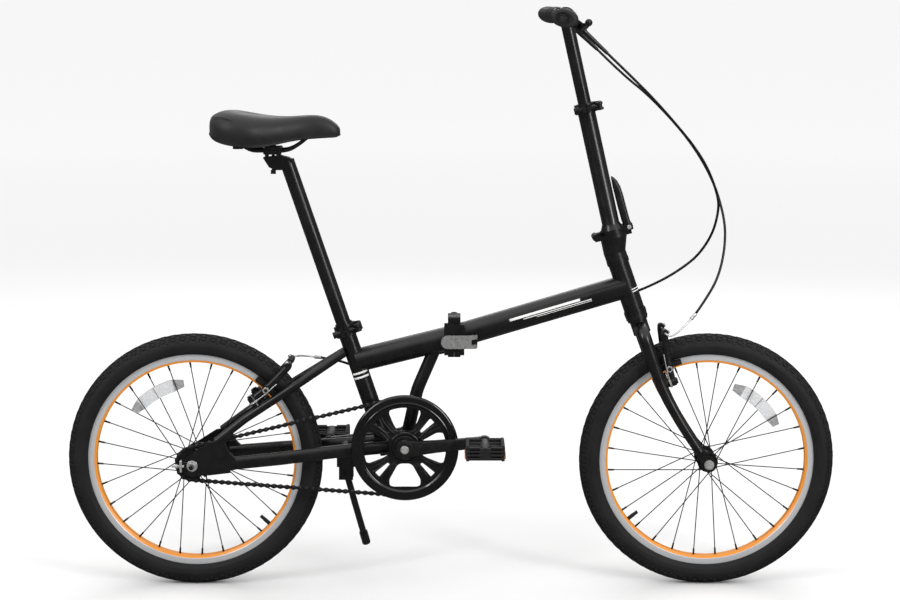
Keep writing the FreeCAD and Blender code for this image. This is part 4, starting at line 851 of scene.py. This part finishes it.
def casing(name, route, cuts):
    """Splits a casing at the cut points; a length that spans two bodies stays in place and the others are fixed
    to their body.
    """
    line = smooth_line(route)
    stops = [0] + [nearest(line, c) for c, _ in cuts[:-1]] + [len(line) - 1]
    for k, (low, high) in enumerate(zip(stops, stops[1:])):
        bodies = cuts[k][1]
        build = Build()
        build.sweep(line[low:high + 1], CASING_R, 14)
        made = build.make(f"{name}_casing_{k + 1}", CASING, crisp=None)
        if len(bodies) == 2:
            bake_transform(made)
        else:
            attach(made, bodies[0])
    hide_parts(name + "_cable")


def guide_and_boot(name, line_end, noodle, head, near, arm):
    """The polished bent guide with its ferrule, the ribbed boot and the inner wire."""
    line_end = Vector(line_end)
    start = (Vector(noodle[0]) - line_end).normalized()
    metal = Build()
    ferrule = [(0, 2.6), (0.5, 3.5), (9, 3.5), (10, 3.9), (14, 3.9), (15, 2.3)]
    metal.lathe(line_end - start * 2, start, ferrule, 20)
    metal.sweep(smooth_line([line_end + start * 12] + noodle), 2.0, 14)
    tube = metal.make(name + "_guide", STEEL)
    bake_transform(tube)
    boot = Build()
    steps = 24
    folds = 6
    profile = [(25.6 * k / steps, 6.2 - 2.6 * k / steps + 0.6 * sin(folds * TAU * k / steps))
               for k in range(steps + 1)]
    boot.lathe(head + Y * near * 33.6, -Y * near, [(0, 2.0)] + profile + [(25.6, 1.2)], 24)
    boot.show(name + "_boot", RUBBER, arm, crisp=60)
    wire = Build()
    wire.sweep([head + Y * near * t for t in (10, 0, -16, -31)], 0.9, 8)
    wire.show(name + "_wire", STEEL, arm, crisp=None)


front_head = FORK_BASE + STEER * HEAD_UP + STEER_FRONT * HEAD_OUT
front_route = [(290, 138, 1047), (340, 134, 998), (395, 124, 955), (470, 100, 873), (515, 68, 796),
               (535, 40, 724), (535, 16, 678), (525, 0, 627), (506, -14, 585), (473, -27, 541)]
casing("front_brake", front_route,
       [((470, 100, 873), ("upper_post", "lower_post")), (None, ("lower_post", "fork"))])
guide_and_boot("front_brake", front_route[-1],
               [(445, -44, 514), (425, -56, 502), front_head - Y * 58, front_head - Y * 48.4],
               front_head, -1, "front_arm_right")
rear_head = STAY_BASE + STAY_UP * HEAD_UP + STAY_OUT * HEAD_OUT
rear_route = [(290, -138, 1047), (338, -128, 1002), (384, -105, 957), (428, -82, 909), (465, -60, 866),
              (493, -42, 823), (514, -24, 771), (517, -12, 741), (508, 2, 695), (483, 16, 652),
              (451, 26, 624), (413, 29.5, 600), (362, 29.5, 577), main_cable(312), main_cable(290),
              main_cable(100), main_cable(64), (30, 38, 472), (6, 48, 461), (-22, 42, 452), main_cable(-64),
              main_cable(-110), (-150, 29, 430), (-190, 29, 430), (-222, 34, 441), (-257, 36, 446)]
casing("rear_brake", rear_route,
       [((465, -60, 866), ("upper_post", "lower_post")), ((514, -24, 771), ("lower_post", "fork")),
        (main_cable(312), ("fork", "front_frame")), (main_cable(64), ("front_frame",)),
        (main_cable(-64), ("front_frame", "rear_frame")), (None, ("rear_frame",))])
guide_and_boot("rear_brake", rear_route[-1],
               [(-284, 44, 448), rear_head + Vector((11, 59, 3)), rear_head + Y * 59, rear_head + Y * 48.4],
               rear_head, 1, "rear_arm_left")


# Saddle.

# Stations along the saddle: x, half width, crown height, skirt height.
SADDLE = ((-463, 30, 915, 893), (-459, 46, 924, 886), (-450, 60, 930, 879), (-434, 71, 934.5, 873.5),
          (-412, 78, 934, 869.5), (-390, 78, 930, 867.2), (-368, 71, 926.5, 866.5),
          (-346, 59.5, 923.5, 868.5), (-324, 47, 922.3, 873), (-302, 36.5, 923, 877.6),
          (-280, 29, 925, 880.4), (-258, 24.5, 925.6, 882), (-240, 21, 921.5, 883),
          (-226, 17.5, 913.5, 883.6), (-217, 13, 905, 884.6), (-213, 8, 899, 887))


def saddle_cover():
    """Padded vinyl over foam: crown, shoulder, skirt and the lip below it."""
    cover = Build()
    rings = []
    for x, half, top, low in SADDLE:
        depth = top - low
        dip = 2.6 if -440 < x < -250 else 0.6
        outline = [(0.0, top - dip), (0.16, top - dip * 0.35), (0.34, top + 0.3), (0.55, top - 1.2),
                   (0.74, top - 0.1 * depth), (0.89, top - 0.22 * depth), (0.975, top - 0.4 * depth),
                   (1.0, top - 0.58 * depth), (0.985, top - 0.74 * depth), (0.95, top - 0.86 * depth),
                   (0.935, low + 3.2), (0.95, low + 1.4), (0.9, low + 0.3), (0.8, low + 2.2),
                   (0.55, low + 7 - 3 * half / 78), (0.25, low + 8), (0.0, low + 8.5)]
        rings.append([(x, share * half, z) for share, z in outline]
                     + [(x, -share * half, z) for share, z in outline[-2:0:-1]])
    cover.rings(rings)
    made = cover.make("saddle_cover", VINYL, crisp=None)
    subdivide(made, 2)
    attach(made, "seat")
    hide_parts("saddle")


def saddle_trim():
    """Piping round the lip, a seam down each flank and the plastic pan below."""
    piping = Build()
    edge = [(x, 0.955 * half, low + 1.2) for x, half, top, low in SADDLE]
    edge += [(x, -y, z) for x, y, z in reversed(edge)]
    piping.sweep(smooth_line(edge + edge[:1]), 1.1, 8)
    piping.show("saddle_edge_piping", RUBBER, "seat", crisp=None)
    path = [(-455, 45, 922), (-440, 59, 926), (-418, 67.5, 920), (-398, 72, 909), (-378, 71.5, 898),
            (-360, 67, 889.5), (-344, 60, 884)]
    for side, word in SIDES:
        seam = Build()
        seam.sweep(smooth_line([(x, side * y, z) for x, y, z in path]), 0.9, 8)
        seam.show("saddle_seam_" + word, VINYL, "seat", crisp=None)
    pan = Build()
    section = ((-1, 1), (-0.6, -1.2), (0, -2.2), (0.6, -1.2), (1, 1), (0.6, 5), (0, 6), (-0.6, 5))
    pan.rings([[(x, y * half * 0.8, low + z) for y, z in section] for x, half, top, low in SADDLE[1:-1]])
    subdivide(pan.show("saddle_base_pan", PAN, "seat", crisp=None), 1)


saddle_cover()
saddle_trim()


# Grips.

BAR_END = Vector((200, -290, 1113.8))
BAR_BEND = Vector((217, -120, 1114))
GRIP = (BAR_END - BAR_BEND).normalized()


def grip(word, mirror):
    """An oval sleeve with rings at its inner end, ribs along its middle and a wide palm rest."""
    tilt = radians(-10.0)
    major = Vector((cos(tilt), 0, sin(tilt)))
    major = (major - GRIP * major.dot(GRIP)).normalized()
    minor = major.cross(GRIP)
    sizes = ((42, 15.5, 15.0), (50, 18.3, 16.8), (90, 19.3, 16.3), (130, 22.8, 15.8), (158, 25.6, 17.2),
             (166.0, 24.0, 15.6), (168.4, 19.0, 11.5))
    build = Build()
    rings = []
    steps = 150
    sides = 48
    for k in range(steps + 1):
        along = 42 + 126.4 * k / steps
        for (a, wa, ta), (b, wb, tb) in zip(sizes, sizes[1:]):
            if a <= along <= b + 0.001:
                t = (along - a) / (b - a)
                t = t * t * (3 - 2 * t)
                wide, tall = wa + (wb - wa) * t, ta + (tb - ta) * t
                break
        rib = 0.45 * sin((along - 56) / 4.0 * TAU) if 56 < along < 92 else 0.0
        centre = BAR_BEND + GRIP * along + major * (0.12 * (wide - 15.5))
        ring = []
        for i in range(sides):
            a = TAU * i / sides
            pad = 0.45 * max(0, min(1, (along - 98) / 4, (152 - along) / 4)) if i % 4 < 2 else 0.0
            reach = rib - 0.4 + pad
            ring.append(centre + around(major * (wide + reach), minor * (tall + reach), a))
        rings.append(ring)
    for along, wide, tall in ((168.4, 16.4, 9.6), (167.6, 15.8, 9.0), (167.6, 14.4, 8.0), (168.5, 13.8, 7.5),
                              (168.5, 10.2, 5.2), (167.7, 9.6, 4.8), (167.7, 8.4, 4.0), (168.5, 7.8, 3.6)):
        middle = BAR_BEND + GRIP * along + major * 1.1
        rings.append([middle + around(major * wide, minor * tall, TAU * i / sides) for i in range(sides)])
    build.rings(rings)
    if mirror:
        build.mirror()
    build.show("ribbed_grip_" + word, GRIP_RUBBER, "upper_post", crisp=50, replaces="grip_" + word)


grip("right", False)
grip("left", True)


# Bolts, nuts, springs and small fittings.

def hex_rings(build, at, out, profile):
    """Rings of (radius, height), or hexagons of (radius, height, flat) whose flats lie at flat * radius."""
    out, u, v = basis(out)
    sides = 24
    rings = []
    for radius, height, *flat in profile:
        ring = []
        for i in range(sides):
            a = TAU * i / sides
            reach = radius * (flat[0] / cos(a % (TAU / 6) - TAU / 12) if flat else 1)
            ring.append(Vector(at) + out * height + around(u, v, a) * reach)
        rings.append(ring)
    build.rings(rings)


def socket_bolt(build, at, out, head_r, height, hex_r):
    """A round bolt head with a hexagonal recess, standing on a washer."""
    washer_r = head_r * 1.35
    corner = cos(TAU / 12)
    hex_rings(build, at, out, ((washer_r, 0), (washer_r, 0.9), (head_r, 0.95), (head_r, height - 0.5),
                               (head_r - 0.5, height), (hex_r + 0.3, height), (hex_r, height - 0.3, corner),
                               (hex_r, height * 0.45, corner)))


def hex_nut(build, at, out, across, height):
    half = across / 2
    hex_rings(build, at, out, ((half * 0.92, 0), (half, 0.5, 0.93), (half, height - 0.6, 0.93),
                               (half * 0.9, height), (half * 0.54, height)))


def brake_fittings():
    for word, base, up, out, pad_up in (("front", FORK_BASE, STEER, STEER_FRONT, 27.2),
                                        ("rear", STAY_BASE, STAY_UP, STAY_OUT, 33.6)):
        for side, side_word in SIDES:
            arm = f"{word}_arm_{side_word}"
            metal = Build()
            socket_bolt(metal, base + out * 9.0 + Y * side * 40, out, 4.4, 3.6, 2.2)
            pad = base + up * pad_up + out * 3.5
            hex_nut(metal, pad + Y * side * 45.8, Y * side, 12.6, 5.4)
            socket_bolt(metal, base + up * HEAD_UP + out * 24.4 + Y * side * 41, out, 3.4, 3.0, 1.7)
            metal.show(f"{arm}_bolts", STEEL, arm)
            spring = Build()
            foot = base + Y * side * 49.5 - out * 3.0
            tip = foot + up * 58 + out * 5 - Y * side * 1.5
            spring.sweep(smooth_line([foot, foot + up * 22, foot + up * 46 + out * 3.5, tip]), 1.0, 8)
            middle = base - out * 4.6 + Y * side * 40
            coil = [middle + out * k * 0.09 + around(up, Y * side, TAU * k / 12) * 9.6 for k in range(37)]
            spring.sweep(coil, 0.8, 8)
            spring.show(f"{arm}_return_spring", STEEL, arm, crisp=None)


brake_fittings()
rear_axle_parts()


HINGE_PLANE = on_post(697.0)


def post_latch_lever():
    """The handlepost latch: a leaf-shaped lever on its pivot eye."""
    build = Build()
    rings = []
    sides = 20
    square = [[copysign(abs(turn) ** 0.7, turn) for turn in (cos(TAU * k / sides), sin(TAU * k / sides))]
              for k in range(sides)]
    for up, near, far, half in ((2, 27, 39, 6.6), (8, 23.5, 40.6, 7.8), (14, 22.3, 38.6, 7.9),
                                (20, 21.4, 37.6, 7.9), (45, 19.9, 36.2, 7.9), (70, 19.0, 35.2, 7.8),
                                (86, 18.6, 33.4, 7.4), (98, 18.6, 29.6, 6.4), (105, 19.0, 25.0, 4.8),
                                (108.4, 19.8, 21.6, 2.6)):
        middle = HINGE_PLANE + POST * up + POST_FRONT * (near + far) / 2
        rings.append([middle + POST_FRONT * (far - near) / 2 * c + Y * half * n for c, n in square])
    build.rings(rings)
    eye = HINGE_PLANE + POST_FRONT * 33 + POST * 6
    build.lathe(eye - Y * 7.8, Y, [(0, 7.2), (0.8, 8.0), (14.8, 8.0), (15.6, 7.2)], 32)
    build.show("post_latch_blade", ALLOY, "post_latch", crisp=50, replaces="post_latch")
    pins = Build()
    for side in (1, -1):
        pins.lathe(eye + Y * side * 13.2, Y * side, [(0, 4.2), (1.6, 4.2), (2.2, 3.4), (2.2, 1.4)], 24)
    pins.show("post_latch_pin_ends", STEEL, "lower_post")


def hinge_ribs():
    """Cast ribs down the latch side of the main tube's hinge."""
    for word, places in (("rear_frame", (-10.4, -6.0, -1.6)), ("front_frame", (10.6, 15.2, 19.8))):
        ribs = Build()
        for x in places:
            ribs.sweep([Vector((x, -33.6, z)) for z in (465, 467, 518, 520)], 1.35, 10)
        ribs.show("hinge_ribs_" + word, PAINT, word)


post_latch_lever()
hinge_ribs()


def small_fittings():
    """Bolts at the handlebar clasp and the saddle clamp, and the caps over the crank bolts."""
    clasp, cranks, saddle_bolts = Build(), Build(), Build()
    for side in (1, -1):
        at = Vector((219.3, 0, 1114)) + POST_FRONT * 17.2 + Y * 13 * side
        socket_bolt(clasp, at, POST_FRONT, 3.6, 3.2, 1.9)
        cap = [(0, 7.4), (1.0, 7.4), (1.5, 6.6), (1.2, 4.2), (0.4, 3.9)]
        cranks.lathe(BB + Y * side * 75.2, Y * side, cap, 28)
        for x in (-351, -335):
            socket_bolt(saddle_bolts, (x, side * 27.2, 858), Y * side, 3.4, 2.4, 1.7)
    clasp.show("handlebar_clasp_bolts", STEEL, "upper_post")
    cranks.show("crank_bolt_caps", SILVER, "crankset")
    saddle_bolts.show("saddle_clamp_bolts", ALLOY, "seat")


small_fittings()


# Printed marks: plain bars, stripes and rings in white.

def wrap(build, start, along, radius, zero, outline):
    """A thin patch on a tube. outline lists (distance along, low angle, high angle); angles start at zero."""
    up = along.cross(zero)
    steps = 30
    rings = []
    for s, low, high in outline:
        arc = [around(zero, up, radians(low + (high - low) * k / steps)) for k in range(steps + 1)]
        middle = start + along * s
        rings.append([middle + a * (radius + 0.3) for a in arc]
                     + [middle + a * (radius + 0.1) for a in reversed(arc)])
    build.rings(rings)


def printed_marks():
    """Plain stripes along the main tube and bands round the seat tube and head tube."""
    for side, word in reversed(SIDES):
        marks, seat, head = Build(), Build(), Build()
        steps = 12
        for low, high, first, last in ((-15, -3, 120, 262), (2, 6, 146, 284), (11, 13, 172, 284)):
            angles = sorted((-side * low, -side * high))
            stripe = [(first + (last - first) * k / steps, *angles) for k in range(steps + 1)]
            wrap(marks, on_main(0), MAIN, MAIN_R, Y * side, stripe)
        for first in (-34, -25):
            band = [(first, -60, 60), (first + 4, -60, 60)]
            wrap(seat, on_seat(SEAT_JOINT), SEAT, SEAT_TUBE_R, Y * side, band)
        angles = sorted((-side * 20, -side * 88))
        for first in (-9, -4):
            wrap(head, on_steer(0), STEER, HEAD_TUBE_R, Y * side, [(first, *angles), (first + 2, *angles)])
        marks.show("main_tube_stripes_" + word, WHITE, "front_frame", crisp=None)
        seat.show("seat_tube_bands_" + word, WHITE, "rear_frame", crisp=None)
        head.show("head_tube_bands_" + word, WHITE, "front_frame", crisp=None)


printed_marks()


# Camera, floor and light. The floor and the lights are in metres.

FLOOR_PAINTED_LIGHT_REACH = 12.0


def studio():
    scene = bpy.context.scene
    camera = bpy.data.cameras.new("camera")
    camera.sensor_width = 36.0
    camera.lens = 85.3
    holder = put("camera", camera)
    pitch = radians(8.2)
    holder.location = Vector((-1.77, -4112.5, 1158.3)) * MM
    holder.rotation_euler = (radians(90) - pitch, 0, 0)
    camera.clip_end = 2000
    scene.camera = holder

    half = 400.0
    mesh = bpy.data.meshes.new("floor")
    corners = [(-half, -half, 0), (half, -half, 0), (half, half, 0), (-half, half, 0)]
    mesh.from_pydata(corners, [], [(0, 1, 2, 3)])
    floor = put("floor", mesh)
    pale = Shader("pale_floor", (0.9, 0.9, 0.9), 0.75, specular=0.1)
    # Painted light on the floor: its colour goes from 0.86 grey at the middle to white 12 m out. This painted
    # brightening of the far floor evens out the light that falls off with distance.
    distance = pale.add("ShaderNodeVectorMath", operation="LENGTH")
    pale.link(pale.place, distance.inputs[0])
    painted_light_spread = pale.math("DIVIDE", distance.outputs["Value"], FLOOR_PAINTED_LIGHT_REACH)
    pale.link(pale.ramp(painted_light_spread, [(0.0, (0.86,) * 3), (1.0, (1.0,) * 3)]), pale.body.inputs["Base Color"])
    mesh.materials.append(pale.material)
    floor.visible_glossy = False

    world = bpy.data.worlds.new("studio")
    scene.world = world
    world.use_nodes = True
    tree = world.node_tree
    direction = tree.nodes.new("ShaderNodeTexCoord")
    split = tree.nodes.new("ShaderNodeSeparateXYZ")
    sky = tree.nodes.new("ShaderNodeValToRGB")
    tree.links.new(direction.outputs["Generated"], split.inputs[0])
    tree.links.new(split.outputs["Z"], sky.inputs["Fac"])
    tree.links.new(sky.outputs["Color"], tree.nodes["Background"].inputs["Color"])
    first, last = sky.color_ramp.elements
    first.position, first.color = 0.22, (0.1, 0.1, 0.1, 1)
    last.position, last.color = 0.8, (1, 1, 1, 1)
    tree.nodes["Background"].inputs["Strength"].default_value = 1.3

    for name, place, aim, size, power in (
            ("front_left", (-3.6, -3.2, 3.2), (-0.2, 0, 0.6), (0.6, 2.6), 75),
            ("front_right", (3.2, -3.6, 2.4), (0.3, 0, 0.6), (1.0, 2.6), 105),
            ("back", (0.5, 3.6, 2.6), (0, 0, 0.6), (3.0, 0.8), 26)):
        light = bpy.data.lights.new(name, "AREA")
        light.shape = "RECTANGLE"
        light.size, light.size_y = size
        light.energy = power
        lamp = put(name, light)
        lamp.location = place
        lamp.rotation_euler = (Vector(aim) - Vector(place)).to_track_quat("-Z", "Y").to_euler()
    scene.view_settings.view_transform = "Standard"


studio()
